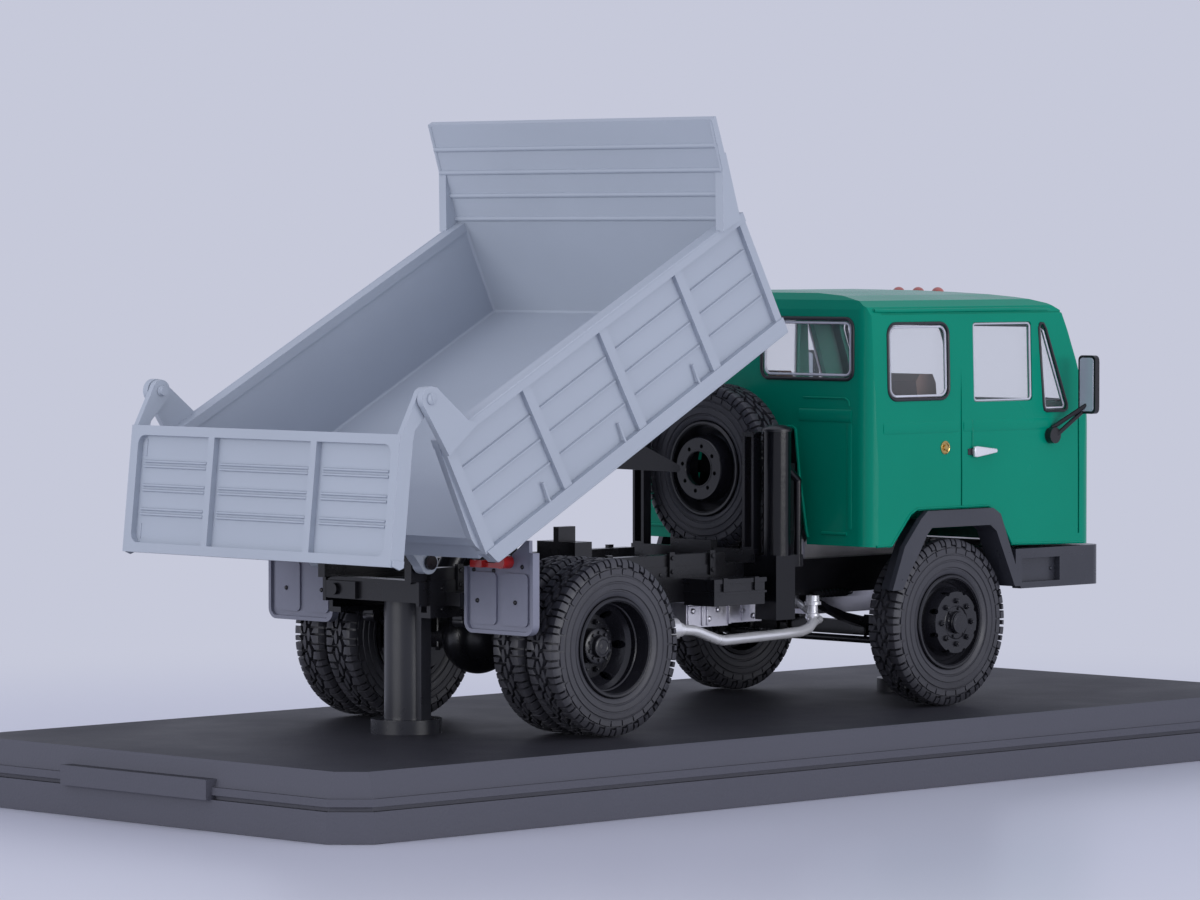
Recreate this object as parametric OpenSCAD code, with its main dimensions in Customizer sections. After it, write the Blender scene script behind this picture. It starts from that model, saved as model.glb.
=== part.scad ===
// Scale model of a cab-over dump truck on a display plinth.
// Units are millimetres.  X forward, Y to the truck's left, Z up.
// Modules are drawn in truck axes: x = 0 at the rear axle, z = 0 on the
// plinth top; place() moves them to the row frame, whose origin is the
// centre of the plinth's underside.

/* [Plinth] */
// Overall plinth length
plinth_l = 191.6; // [150:0.1:230]
// Overall plinth width
plinth_w = 81.0; // [60:0.1:110]
// Plinth height
plinth_h = 8.8; // [5:0.1:16]
// Distance from the rear axle to the plinth centre
plinth_cx = 34.5; // [20:0.1:50]
// Corner chamfer of the plinth
plinth_cham = 4.2; // [1:0.1:8]
// Diameter of the pillar feet
foot_d = 9.6; // [6:0.1:14]
// Diameter of the pillars
pillar_d = 6.0; // [4:0.1:9]

/* [Chassis] */
// Wheelbase
wheelbase = 69.3; // [66:0.1:72]
// Height of the top of the frame rails over the plinth
rail_top = 21.0; // [18:0.1:24]
// Depth of the frame rails
rail_h = 5.0; // [3:0.1:7]
// Half width of the frame over its rails
rail_y = 10.0; // [8:0.1:12]

/* [Wheels] */
// Tyre radius
tyre_r = 11.84; // [9:0.01:14]
// Height of the axle centres over the plinth top
axle_z = 11.94; // [9.2:0.01:14.2]
// Tyre width
tyre_w = 5.5; // [4:0.1:8]
// Radius of the rim seat
rim_r = 6.7; // [5:0.05:9]
// Half width over the front tyres
front_half = 23.1; // [22:0.1:24]
// Half width over the rear tyres
rear_half = 25.7; // [25:0.1:27]
// Gap between twin tyres
twin_gap = 0.9; // [0.3:0.1:2]

/* [Cab] */
// Half width of the cab
cab_half = 23.6; // [23:0.1:25]
// Cab rear wall distance from the rear axle
cab_rear = 51.6; // [50:0.1:53]
// Cab front face distance from the rear axle
cab_front = 99.7; // [98:0.1:101]
// Height of the lower edge of the cab
cab_low = 22.6; // [19:0.1:26]
// Height of the roof crown
cab_top = 58.9; // [52:0.1:64]
// Wall thickness of the cab casting
cab_wall = 0.9; // [0.6:0.05:1.5]

/* [Bed] */
// Tilt of the bed as displayed
bed_tilt = 28.2; // [0:0.1:45]
// Opening of the tailgate as displayed
gate_open = 34.3; // [0:0.1:45]
// Hinge distance behind the rear axle
hinge_x = 20.5; // [16:0.1:25]
// Hinge height over the plinth top
hinge_z = 23.5; // [20:0.1:26]
// Inner half width of the bed
bed_in = 25.2; // [22:0.1:26]
// Height of the side top rail over the hinge
bed_top = 20.8; // [16:0.1:26]
// Height of the load floor over the hinge
bed_floor = 6.5; // [4:0.1:8]
// Forward end of the bed from the hinge
bed_front = 60.0; // [50:0.1:66]

/* [Hidden] */
fine = 64;
mid = 40;
lo = 24;
e = 0.01;
wall = cab_wall;
twin_w = 2 * tyre_w + twin_gap;
rail_z = rail_top - rail_h;

// ---------- helpers ----------
module place() { translate([-plinth_cx, 0, plinth_h]) children(); }

// profile given in (x, z), extruded along y between y0 and y1
module slab_y(y0, y1) {
    translate([0, y1, 0]) rotate([90, 0, 0]) linear_extrude(y1 - y0) children();
}

// profile given in (y, z), extruded along x between x0 and x1
module slab_x(x0, x1) {
    translate([x0, 0, 0]) rotate([90, 0, 90]) linear_extrude(x1 - x0) children();
}

module box(x0, x1, y0, y1, z0, z1) {
    translate([x0, y0, z0]) cube([x1 - x0, y1 - y0, z1 - z0]);
}

module rod_y(x, z, r, y0, y1, n = 32) {
    translate([x, y0, z]) rotate([-90, 0, 0]) cylinder(r = r, h = y1 - y0, $fn = n);
}

module rod_x(y, z, r, x0, x1, n = 32) {
    translate([x0, y, z]) rotate([0, 90, 0]) cylinder(r = r, h = x1 - x0, $fn = n);
}

module rod_z(x, y, r, z0, z1, n = 32) {
    translate([x, y, z0]) cylinder(r = r, h = z1 - z0, $fn = n);
}

// straight bar of round section between two points
module bar(a, b, r, n = 24) {
    d = b - a;
    l = norm(d);
    translate(a) rotate([0, acos(d[2] / l), atan2(d[1], d[0])])
        cylinder(r = r, h = l, $fn = n);
}

module rrect(x0, x1, y0, y1, r, n = 32) {
    union() {
        translate([x0 + r, y0]) square([x1 - x0 - 2 * r, y1 - y0]);
        translate([x0, y0 + r]) square([x1 - x0, y1 - y0 - 2 * r]);
        for (x = [x0 + r, x1 - r], y = [y0 + r, y1 - r])
            translate([x, y]) circle(r = r, $fn = n);
    }
}

module cham_rect(hx, hy, c) {
    polygon([[-hx + c, -hy], [hx - c, -hy], [hx, -hy + c], [hx, hy - c],
             [hx - c, hy], [-hx + c, hy], [-hx, hy - c], [-hx, -hy + c]]);
}

module mirror_pair() {
    children();
    mirror([0, 1, 0]) children();
}

// ---------- plinth ----------
module plinth_layer(z0, z1, inset) {
    translate([plinth_cx, 0, z0]) linear_extrude(z1 - z0)
        cham_rect(plinth_l / 2 - inset, plinth_w / 2 - inset, plinth_cham - 0.58 * inset);
}

module plinth() {
    color([0.10, 0.10, 0.12])
    difference() {
        union() {
            plinth_layer(-plinth_h, -4.8, 0);
            plinth_layer(-4.9, -4.1, 0.7);
            plinth_layer(-4.2, -3.2, 0);
            hull() {
                plinth_layer(-3.3, -3.2, 0.5);
                plinth_layer(-0.35, -0.3, 1.9);
                plinth_layer(-0.05, 0, 2.2);
            }
            for (s = [0, 1]) translate([plinth_cx, 0, 0]) mirror([s, 0, 0])
                box(-plinth_l / 2 - 0.9, -plinth_l / 2 + 2, -14.5, 14.5, -4.8, -2.2);
        }
        difference() {
            translate([plinth_cx, 0, -plinth_h - 1]) linear_extrude(plinth_h - 1.6)
                cham_rect(plinth_l / 2 - 2.4, plinth_w / 2 - 2.4, 2.8);
            for (x = [-14.3, 86]) rod_z(x, 0, 5.2, -plinth_h, 0, mid);
            box(plinth_cx - 0.7, plinth_cx + 0.7, -39, 39, -6.6, 0);
            box(-60, 128, -0.7, 0.7, -6.6, 0);
        }
        for (x = [-14.3, 86]) {
            rod_z(x, 0, 1.75, -plinth_h - 1, 1, mid);
            rod_z(x, 0, 3.2, -plinth_h - 1, -4.2, mid);
        }
    }
}

module pillar(x, top) {
    color([0.09, 0.09, 0.10])
    translate([x, 0, 0]) difference() {
        union() {
            cylinder(d = foot_d, h = 1.9, $fn = fine);
            cylinder(d = pillar_d, h = top, $fn = fine);
            translate([-0.9, -pillar_d / 2 - 0.9, 0]) cube([1.8, 3, top - 0.5]);
        }
        translate([0, 0, -1]) cylinder(d = 2.6, h = top - 2, $fn = mid);
    }
}

module pillar_rear() { pillar(-14.3, 17.8); }
module pillar_front() { pillar(86, rail_z); }

// ---------- chassis ----------
module rail() {
    // channel with its web outside
    difference() {
        box(-19.2, 97.7, -rail_y, -rail_y + 2.3, rail_z, rail_top);
        box(-21.5, 98.7, -rail_y + 0.7, -rail_y + 3, rail_z + 0.7, rail_top - 0.7);
    }
}

module chassis_frame() {
    color([0.05, 0.05, 0.06])
    union() {
        mirror_pair() rail();
        // crossmembers
        box(-20.6, -18.6, -9.1, 9.1, 18.0, 20.6);
        box(-20.9, -18.4, -8.0, 8.0, 20.5, 20.95);
        mirror_pair() box(-20.8, -18.6, -9.5, -8.9, 17.6, 20.8);
        mirror_pair() box(-19.3, -17.9, -rail_y + 0.01, -8.6, 17.9, 20.9);
        box(-17.8, -11.6, -rail_y + 0.5, rail_y - 0.5, 17.8, 19.2);
        box(-10.6, -7.4, -rail_y + 0.5, rail_y - 0.5, rail_z + 0.01, 16.6);
        box(14.6, 16.2, -rail_y + 0.5, rail_y - 0.5, rail_z + 0.3, 17.8);
        box(38.6, 40.2, -rail_y + 0.5, rail_y - 0.5, 19.6, 20.8);
        box(82.5, 89.5, -rail_y + 0.5, rail_y - 0.5, rail_z + e, 17.3);
        box(95.8, 97.6, -rail_y + 0.5, rail_y - 0.5, rail_z + 0.4, 20.4);
        // lower ram clevis
        mirror_pair() difference() {
            slab_y(-3.1, -2.0) polygon([[-10.6, 16.3], [-7.4, 16.3], [-7.9, 19.1], [-10.1, 19.1]]);
        }
        rod_y(ram_a[0], ram_a[2], 0.6, -3.1, 3.1);
        // sub frame under the bed
        mirror_pair() box(-19.0, 37.0, -rail_y + 0.15, -rail_y + 2.0, rail_top - e, 22.6);
        // bed rest beam with locating lugs
        box(6.6, 9.8, -11, 11, 20.9, 22.3);
        mirror_pair() box(6.6, 9.8, -11, -3.6, 22.2, 25.1);
        mirror_pair() box(6.6, 9.8, -7.8, -6.8, 25.0, 27.1);
        // hinge brackets and cross shaft
        mirror_pair() slab_y(-9.2, -7.9)
            polygon([[-21.9, 20.8], [-17.2, 20.8], [-19.1, 24.2], [-19.6, 24.8], [-21.4, 24.8], [-21.9, 24.2]]);
        rod_y(-hinge_x, hinge_z, 0.8, -11.6, 11.6);
        mirror_pair() rod_y(-hinge_x, hinge_z, 0.95, -11.75, -11.3);
        // arms to the mudflaps
        mirror_pair() box(-16.6, -13.95, -12.95, -rail_y + 0.01, 17.6, 19.4);
        mirror_pair() box(-14.65, -13.95, -24.3, -12.5, 17.6, 19.4);
        mirror_pair() box(-14.65, -13.95, -24.3, -14.0, 22.0, 24.2);
        mirror_pair() box(-14.65, -13.95, -15.4, -14.0, 19.3, 22.1);
        mirror_pair() box(-15.4, -14.0, -18.9, -14.2, 22.95, 24.0);
        // towing eye block under the left end of the rear crossmember
        box(-21.2, -20.5, 2.6, 8.4, 18.1, 20.4);
        rod_x(6.6, 19.3, 0.8, -21.7, -21.1, 28);
    }
}

module leaf_pack(xc, y, half, z_end, z_mid, w, n) {
    // arched stack of leaves
    slab_y(y - w / 2, y + w / 2) polygon(concat(
        [for (i = [0:8]) let (t = i / 4 - 1) [xc + half * t, z_mid + (z_end - z_mid) * t * t + 0.45]],
        [for (i = [0:8]) let (t = 1 - i / 4) [xc + half * t,
            z_mid + (z_end - z_mid) * t * t - 0.1 - 0.42 * n * (1 - abs(t))]]));
}

module rear_axle() {
    color([0.06, 0.06, 0.07])
    union() {
        translate([0, 1.2, axle_z]) sphere(r = 4.9, $fn = mid);
        rod_x(1.2, axle_z, 2.3, 0, 5.9);
        rod_y(0, axle_z, 1.75, -13.0, 13.0);
        mirror_pair() rod_y(0, axle_z, 1.3, -20.5, -12);
        mirror_pair() rod_y(0, axle_z, 4.7, -13.1, -11.6, mid);
        mirror_pair() box(-1.7, 1.7, -9.7, -7.9, axle_z, 14.4);
        mirror_pair() leaf_pack(0, -8.8, 12.5, 15.5, 13.9, 1.7, 4);
        mirror_pair() box(-13.2, -11.8, -9.7, -7.9, 15.0, 15.99);
        mirror_pair() box(11.8, 13.2, -9.7, -7.9, 15.0, 15.99);
    }
}

module front_axle() {
    color([0.06, 0.06, 0.07])
    union() {
        box(wheelbase - 0.9, wheelbase + 0.9, -15.9, 15.9, 9.3, 11.3);
        mirror_pair() rod_z(wheelbase, -15.4, 1.1, 8.7, 14.2);
        mirror_pair() rod_y(wheelbase, axle_z, 4.3, -17.3, -16.0, mid);
        mirror_pair() rod_y(wheelbase, axle_z, 1.0, -21.9, -15.4);
        mirror_pair() leaf_pack(wheelbase, -8.8, 14.5, 15.5, 11.6, 1.6, 3);
        mirror_pair() box(wheelbase - 15.3, wheelbase - 13.9, -9.6, -8.0, 14.9, 15.99);
        mirror_pair() box(wheelbase + 13.9, wheelbase + 15.3, -9.6, -8.0, 14.9, 15.99);
        // track rod
        rod_y(wheelbase - 4.2, 9.0, 0.5, -15.2, 15.2);
        mirror_pair() box(wheelbase - 4.6, wheelbase, -15.9, -14.9, 8.7, 9.5);
    }
}

module engine_gearbox() {
    color([0.62, 0.62, 0.64])
    union() {
        slab_y(-6.2, 6.2) polygon([[57, 15], [82, 15], [82, 20.8], [79.2, 24.8], [77.6, 26.6], [61.4, 26.6], [58.4, 24.4], [57, 23.0]]);
        box(60, 81, -4.6, 4.6, 12.6, 15.1);
        slab_x(50, 57.1) polygon([[-5.4, 13.6], [5.4, 13.6], [5.9, 16], [5.9, 23.5], [4, 26], [-4, 26], [-5.9, 23.5], [-5.9, 16]]);
        box(34.5, 50.1, -4.6, 4.6, 13.2, 19.3);
        box(37.4, 45.6, -5.6, 5.6, 12.4, 16.2);
        rod_x(0, 15.6, 1.6, 32.6, 34.6);
        // transfer case low on the right side
        box(38.0, 45.2, -9.0, -4.5, 12.6, 15.5);
        box(29.8, 38.1, -9.3, -4.2, 12.3, 15.7);
        box(52.2, 53.8, -7.1, -5.8, 14.6, 16.2);
    }
}

module propshaft() {
    color([0.07, 0.07, 0.08])
    union() {
        bar([30.9, 0, 15.6], [7.6, 1.2, axle_z], 0.8);
        translate([30.9, 0, 15.6]) sphere(r = 1.3, $fn = 28);
        translate([7.6, 1.2, axle_z]) sphere(r = 1.3, $fn = 28);
        rod_x(0, 15.6, 0.9, 30.9, 32.6);
        rod_x(1.2, axle_z, 0.9, 5.9, 7.6);
    }
}

module exhaust() {
    p = [[53.0, -7.7, 15.3], [54.9, -11.0, 12.4], [50.0, -12.0, 10.9], [35.6, -12.0, 10.5], [33.0, -12.0, 10.7], [28.7, -12.0, 12.2], [24.6, -12.0, 12.5]];
    color([0.78, 0.78, 0.80])
    union() {
        for (i = [0:5]) bar(p[i], p[i + 1], 0.52);
        for (i = [1:5]) translate(p[i]) sphere(r = 0.56, $fn = 24);
        rod_x(-12.0, 12.6, 1.5, 15.4, 24.8, mid);
        bar([15.6, -12.0, 12.6], [13.4, -13.2, 11.4], 0.5);
        // hanger up to the rail
        box(20.2, 21.0, -12.4, -9.6, 13.9, 14.7);
        box(20.2, 21.0, -10.4, -9.6, 14.0, rail_z + e);
    }
}

module battery_box() {
    color([0.07, 0.07, 0.08])
    difference() {
        union() {
            box(28.7, 38.7, -15.8, -rail_y, 15.6, 19.2);
            box(28.5, 38.9, -16.0, -rail_y, 18.7, 19.3);
            box(28.5, 38.9, -16.0, -rail_y, 17.2, 17.5);
        }
        box(29.3, 38.1, -15.2, -10.6, 14.0, 18.6);
    }
}

module fuel_tank() {
    color([0.07, 0.07, 0.08])
    difference() {
        union() {
            slab_x(22, 39) rrect(rail_y + 0.6, 18.2, 12.2, 19.6, 1.4);
            for (x = [25, 35]) slab_x(x, x + 1.0) rrect(rail_y + 0.3, 18.45, 11.95, 19.85, 1.5);
            for (x = [25, 35]) box(x, x + 1, rail_y, rail_y + 1, 16.4, 19.2);
            rod_z(37, 14.6, 0.9, 19.0, 20.6);
        }
        slab_x(22.7, 38.3) rrect(rail_y + 1.3, 17.5, 12.9, 18.9, 0.9);
    }
}

module intake_column() {
    // tall air cleaner housing standing between the spare wheel and the cab corner
    color([0.07, 0.07, 0.08])
    union() {
        difference() {
            union() {
                rod_z(42.5, -14.5, 1.95, 22.1, 39.4, mid);
                translate([42.5, -14.5, 39.4]) scale([1, 1, 0.45]) sphere(r = 1.95, $fn = 32);
            }
            rod_z(42.5, -14.5, 1.5, 23.0, 38.8, mid);
        }
        box(40.6, 44.4, -16.2, -12.15, 13.2, 22.2);
        box(40.6, 44.4, -12.2, -rail_y, 16.4, 20.9);
        // riser pipe behind the cab
        rod_z(46.6, -14.6, 0.55, 20.5, 32.6, 24);
        bar([46.6, -14.6, 32.5], [44.0, -14.6, 34.5], 0.55);
        box(44.2, 47.2, -15.1, -14.1, 20.4, 22.1);
    }
}

module spare_carrier() {
    color([0.08, 0.08, 0.09])
    union() {
        // tray with a raised middle lip
        box(40.6, 48.2, -12.1, 12.1, 21.0, 21.9);
        box(40.4, 41.3, -12.1, 12.1, 21.2, 22.9);
        box(40.2, 41.4, -4.0, 4.0, 22.0, 23.9);
        // channel posts
        mirror_pair() difference() {
            box(40.5, 42.0, -11.9, -9.7, 21.5, 39.2);
            box(40.3, 41.4, -11.5, -10.2, 23.2, 38.6);
        }
        // feet on the frame
        mirror_pair() box(42.0, 46.0, -rail_y + 0.2, -rail_y + 2.0, rail_top - e, 21.3);
        // back frame that carries the wheel
        box(48.15, 48.9, -10.5, 10.5, 32.9, 34.7);
        mirror_pair() box(48.15, 48.9, -11.9, -10.4, 21.5, 34.7);
        box(48.1, 48.9, -12.1, 12.1, 21.0, 21.9);
    }
}

// ---------- wheels, drawn with the outer face up at z = 0 ----------
module tyre_shape() {
    w = tyre_w;
    rotate_extrude($fn = fine) polygon([
        [rim_r, -0.55], [7.2, -0.12], [8.0, 0], [10.5, -0.02], [11.3, -0.16], [tyre_r - 0.12, -0.4], [tyre_r, -0.75],
        [tyre_r, -w + 0.75], [tyre_r - 0.12, -w + 0.4], [11.3, -w + 0.16], [10.5, -w + 0.02], [8.0, -w], [7.2, -w + 0.12], [rim_r, -w + 0.55]]);
}

module rim_convex_shape() {
    rotate_extrude($fn = fine) polygon([
        [2.42, 0.9], [4.35, 0.9], [4.85, -1.3], [5.5, -1.7], [6.0, -1.0], [6.15, -0.2], [rim_r, -0.2],
        [rim_r, -tyre_w + 0.2], [6.15, -tyre_w + 0.2], [5.85, -2.6], [4.5, -2.2], [3.95, 0.2], [2.42, 0.2]]);
}

module rim_dished_shape() {
    // outer rim of a twin pair; its disc lies at the joint plane
    j = -twin_w / 2;
    rotate_extrude($fn = fine) polygon([
        [2.3, j + 0.7], [4.3, j + 0.7], [5.3, -3.7], [5.85, -3.2], [6.1, -1.2], [6.15, -0.2], [rim_r, -0.2],
        [rim_r, -tyre_w + 0.2], [6.2, -tyre_w + 0.2], [5.95, -4.2], [5.5, -4.5], [4.6, j], [2.3, j]]);
}

module rim_front_shape() {
    difference() {
        union() {
            rim_convex_shape();
            translate([0, 0, -5.0]) cylinder(r = 2.45, h = 5.8, $fn = mid);
            cylinder(r = 1.5, h = 1.75, $fn = mid);
        }
        translate([0, 0, -6]) cylinder(r = 1.06, h = 5.1, $fn = mid);
        for (a = [0:45:315]) rotate(a + 22.5) translate([3.95, 0, -0.9]) rotate([0, 18, 0])
            cylinder(r = 0.42, h = 4, center = true, $fn = 20);
    }
}

module rims_twin_shape() {
    difference() {
        union() {
            rim_dished_shape();
            translate([0, 0, -twin_w]) mirror([0, 0, 1]) rim_dished_shape();
            translate([0, 0, -9.6]) cylinder(r = 2.35, h = 6.1, $fn = mid);
            translate([0, 0, -4]) cylinder(r = 1.35, h = 1.25, $fn = mid);
        }
        translate([0, 0, -10]) cylinder(r = 1.36, h = 5.0, $fn = mid);
        for (a = [0:60:300]) rotate(a) translate([4.75, 0, -twin_w / 2])
            cylinder(r = 0.55, h = 6, center = true, $fn = 20);
    }
}

module rim_spare_shape() {
    difference() {
        rim_convex_shape();
        for (a = [0:45:315]) rotate(a + 34.3) translate([3.2, 0, 0])
            cylinder(r = 0.3, h = 6, center = true, $fn = 20);
    }
}

module on_right(x, half) { translate([x, -half, axle_z]) rotate([90, 0, 0]) children(); }
module on_left(x, half) { translate([x, half, axle_z]) rotate([-90, 0, 0]) children(); }

module rim_color() { color([0.06, 0.06, 0.07]) children(); }
module tyre_color() { color([0.12, 0.12, 0.13]) children(); }

module rim_front_right() { rim_color() on_right(wheelbase, front_half) rim_front_shape(); }
module rim_front_left() { rim_color() on_left(wheelbase, front_half) rim_front_shape(); }
module tyre_front_right() { tyre_color() on_right(wheelbase, front_half) tyre_shape(); }
module tyre_front_left() { tyre_color() on_left(wheelbase, front_half) tyre_shape(); }
module rims_rear_right() { rim_color() on_right(0, rear_half) rims_twin_shape(); }
module rims_rear_left() { rim_color() on_left(0, rear_half) rims_twin_shape(); }
module twin_tyres() {
    tyre_shape();
    translate([0, 0, -tyre_w - twin_gap]) tyre_shape();
}
module tyres_rear_right() { tyre_color() on_right(0, rear_half) twin_tyres(); }
module tyres_rear_left() { tyre_color() on_left(0, rear_half) twin_tyres(); }

module on_carrier() { translate([42.6, 0, 33.8]) rotate([0, -90, 0]) children(); }
module rim_spare() { rim_color() on_carrier() rim_spare_shape(); }
module tyre_spare() { tyre_color() on_carrier() tyre_shape(); }

// ---------- mudflaps and tail lamps ----------
module mudflap() {
    union() {
        slab_x(-15.4, -14.8) union() {
            polygon([[-26.1, 15.6], [-24.6, 14.2], [-14.4, 14.2], [-13.0, 15.6], [-13.0, 22.9], [-19.2, 22.9],
                     [-21.9, 24.9], [-24.3, 26.7], [-24.9, 26.7], [-24.9, 25.1], [-26.1, 25.1]]);
            translate([-24.6, 15.7]) circle(r = 1.5, $fn = 40);
            translate([-14.5, 15.7]) circle(r = 1.5, $fn = 40);
        }
        // raised panels
        slab_x(-15.7, -15.3) rrect(-18.9, -14.1, 15.4, 22.3, 0.7);
        slab_x(-15.7, -15.3) rrect(-24.9, -19.9, 15.4, 22.3, 0.7);
        // edge bead
        slab_x(-15.9, -14.7) difference() {
            rrect(-26.1, -13.0, 14.2, 30, 1.5);
            rrect(-25.6, -13.5, 14.7, 31, 1.0);
            translate([-27, 22.9]) square([16, 10]);
        }
        box(-15.9, -14.7, -26.1, -25.6, 22.8, 25.1);
    }
}
module mudflaps() { color([0.06, 0.06, 0.07]) mirror_pair() mudflap(); }

module tail_lamp() {
    union() {
        rod_x(-21.2, 23.8, 0.85, -17.2, -15.42);
        box(-16.3, -15.42, -21.4, -15.4, 22.95, 23.6);
        box(-16.9, -15.42, -17.4, -15.2, 22.95, 23.9);
    }
}
module tail_lamps() { color([0.55, 0.05, 0.06]) mirror_pair() tail_lamp(); }

// ---------- cab ----------
// side profile; k is the inward offset from the outer skin
module cab_side(k) {
    f = cab_front - k;
    r = cab_rear + k;
    t = cab_top - k;
    w = wheelbase;
    polygon([
        [r, cab_low + 0.6 - 2 * k], [w - 13.2, 23.0 - 2 * k],
        [w - 9.2, 27.3 + 1.4 * k], [w - 7.8, 28.0 + 1.4 * k], [w + 7.2, 28.0 + 1.4 * k], [w + 9.2, 27.0 + 1.4 * k],
        [w + 12.3, 22.4 - 2 * k], [f - 0.9, 22.0 - 2 * k],
        [f - 0.5, 24.5], [f - 0.05, 29.5], [f, 33], [f - 0.7, 38.5], [f - 2.1, 43.6], [f - 3.8, 48.6], [f - 5.6, 53.0],
        [f - 7.0, 55.9], [f - 9.0, 56.9 - k], [f - 13.2, 57.8 - k], [f - 19, 58.5 - k], [f - 26, t],
        [r + 5, t], [r + 1.4, t - 0.35], [r + 0.35, t - 1.3], [r, t - 2.6]]);
}

module cab_plan(k) {
    f = cab_front - k;
    r = cab_rear + k;
    h = cab_half - k;
    c = 2.2 - k / 2;
    d = 2.6 - k / 2;
    union() {
        translate([r + c, -h]) square([f - r - c - d, 2 * h]);
        translate([r, -h + c]) square([f - r - d, 2 * h - 2 * c]);
        polygon([[f - d - 1, -h + d], [f - d - 1, h - d], [f, h - d], [f, -h + d]]);
        for (s = [-1, 1]) {
            translate([r + c, s * (h - c)]) circle(r = c, $fn = 48);
            translate([f - d, s * (h - d)]) circle(r = d, $fn = 48);
        }
    }
}

module cab_section(k) {
    h = cab_half - k;
    t = cab_top - k;
    polygon([[-h, 5], [h, 5], [h, 33], [h - 0.15, 44], [h - 0.45, 55.4 - k], [h - 0.95, 56.6 - k], [h - 2.3, 57.5 - k],
             [h - 6, 58.2 - k], [h - 14, 58.75 - k], [0, t], [-h + 14, 58.75 - k], [-h + 6, 58.2 - k],
             [-h + 2.3, 57.5 - k], [-h + 0.95, 56.6 - k], [-h + 0.45, 55.4 - k], [-h + 0.15, 44], [-h, 33]]);
}

module cab_solid(k) {
    intersection() {
        slab_y(-30, 30) cab_side(k);
        translate([0, 0, 4]) linear_extrude(60) cab_plan(k);
        slab_x(40, 107) cab_section(k);
    }
}

module side_window_shape(g) { rrect(cab_rear + 4.1 + g, cab_rear + 16.7 - g, 43.6 + g, 54.3 - g, 1.5 - g); }
module door_window_shape(g) { rrect(cab_rear + 22.0 + g, cab_rear + 34.6 - g, 43.0 + g, 54.3 - g, 0.5); }
module vent_window_shape(g) {
    v = cab_rear + 35.6;
    polygon([[v + 1.5 + g, 41.4 + g], [v + 6.7 - 1.4 * g, 41.4 + g], [v + 1.7 - 0.4 * g, 54.0 - g], [v + 0.6 + g, 54.0 - g]]);
}
module rear_window_shape(g) { rrect(-20.5 + g, -2.9 - g, 46.5 + g, 55.0 - g, 1.2 - g); }
module screen_shape(g) { rrect(-20.9 + g, -0.8 - g, 42.6 + g, 53.6 - g, 1.2 - g); }

module cab_shell() {
    color([0.09, 0.47, 0.38])
    difference() {
        cab_solid(0);
        cab_solid(wall);
        slab_y(-40, 40) side_window_shape(0);
        slab_y(-40, 40) door_window_shape(0);
        slab_y(-40, 40) vent_window_shape(0);
        mirror_pair() slab_x(40, 58) rear_window_shape(0);
        mirror_pair() slab_x(88, 107) screen_shape(0);
        // engine tunnel opening in the rear wall
        slab_x(40, cab_rear + 3) polygon([[-11.9, 10], [11.9, 10], [11.6, 25], [10.2, 32.7], [9.4, 39.4], [-9.4, 39.4], [-10.2, 32.7], [-11.6, 25]]);
        // door shut lines
        mirror_pair() {
            box(cab_rear + 19.1, cab_rear + 19.4, -27, -cab_half + 0.25, 27.8, 55.7);
            box(cab_rear + 3, cab_rear + 44.8, -27, -cab_half + 0.7, 55.55, 55.75);
            box(cab_rear + 44.5, cab_rear + 44.8, -27, -cab_half + 0.3, 23.6, 41.4);
        }
    }
}

module cab_glazing() {
    color([0.80, 0.86, 0.90, 0.35])
    union() {
        difference() {
            intersection() {
                cab_solid(wall + 0.1);
                box(40, 107, -30, 30, 40.8, 55.2);
            }
            intersection() {
                cab_solid(wall + 0.6);
                box(40, 107, -30, 30, 30, 60);
            }
        }
        // panes standing in the window openings
        mirror_pair() intersection() {
            difference() {
                cab_solid(0.35);
                cab_solid(wall + 0.2);
            }
            union() {
                slab_y(-40, -20) side_window_shape(0.05);
                slab_y(-40, -20) door_window_shape(0.05);
                slab_y(-40, -20) vent_window_shape(0.05);
                slab_x(40, 58) rear_window_shape(0.05);
                slab_x(88, 107) screen_shape(0.05);
            }
        }
    }
}

module cab_floor() {
    hy = cab_half - 1.1;
    color([0.14, 0.14, 0.15])
    difference() {
        union() {
            // floor over the wheel arches and the engine cover
            box(cab_rear + 3.2, 97.7, -hy, hy, 30.0, 30.8);
            box(58.0, 87.2, -7.4, 7.4, 30.7, 34.6);
            box(cab_rear + wall + 0.1, 55.3, -hy, hy, 39.6, 40.3);
            box(54.6, 55.4, -hy, hy, 30.0, 40.3);
        }
        box(58.8, 86.4, -6.6, 6.6, 29.0, 33.8);
    }
}

module seats() {
    color([0.36, 0.20, 0.15])
    union() {
        mirror_pair() {
            box(69.8, 80.8, -19.6, -8.0, 33.6, 36.6);
            slab_y(-19.6, -8.0) polygon([[67.3, 36.0], [70.1, 34.6], [70.7, 36.0], [69.8, 45.8], [69.1, 47.0], [66.4, 47.0], [65.6, 46.0]]);
            box(71, 79, -17.5, -10, 30.8, 33.7);
        }
        // sleeping bunk behind the seats
        box(53.4, 58.3, -20.5, 20.5, 40.31, 43.2);
        mirror_pair() slab_y(-14.5, -12.5) polygon([[57.3, 41.0], [57.3, 43.0], [66.7, 44.6], [66.7, 42.6]]);
    }
}

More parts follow.
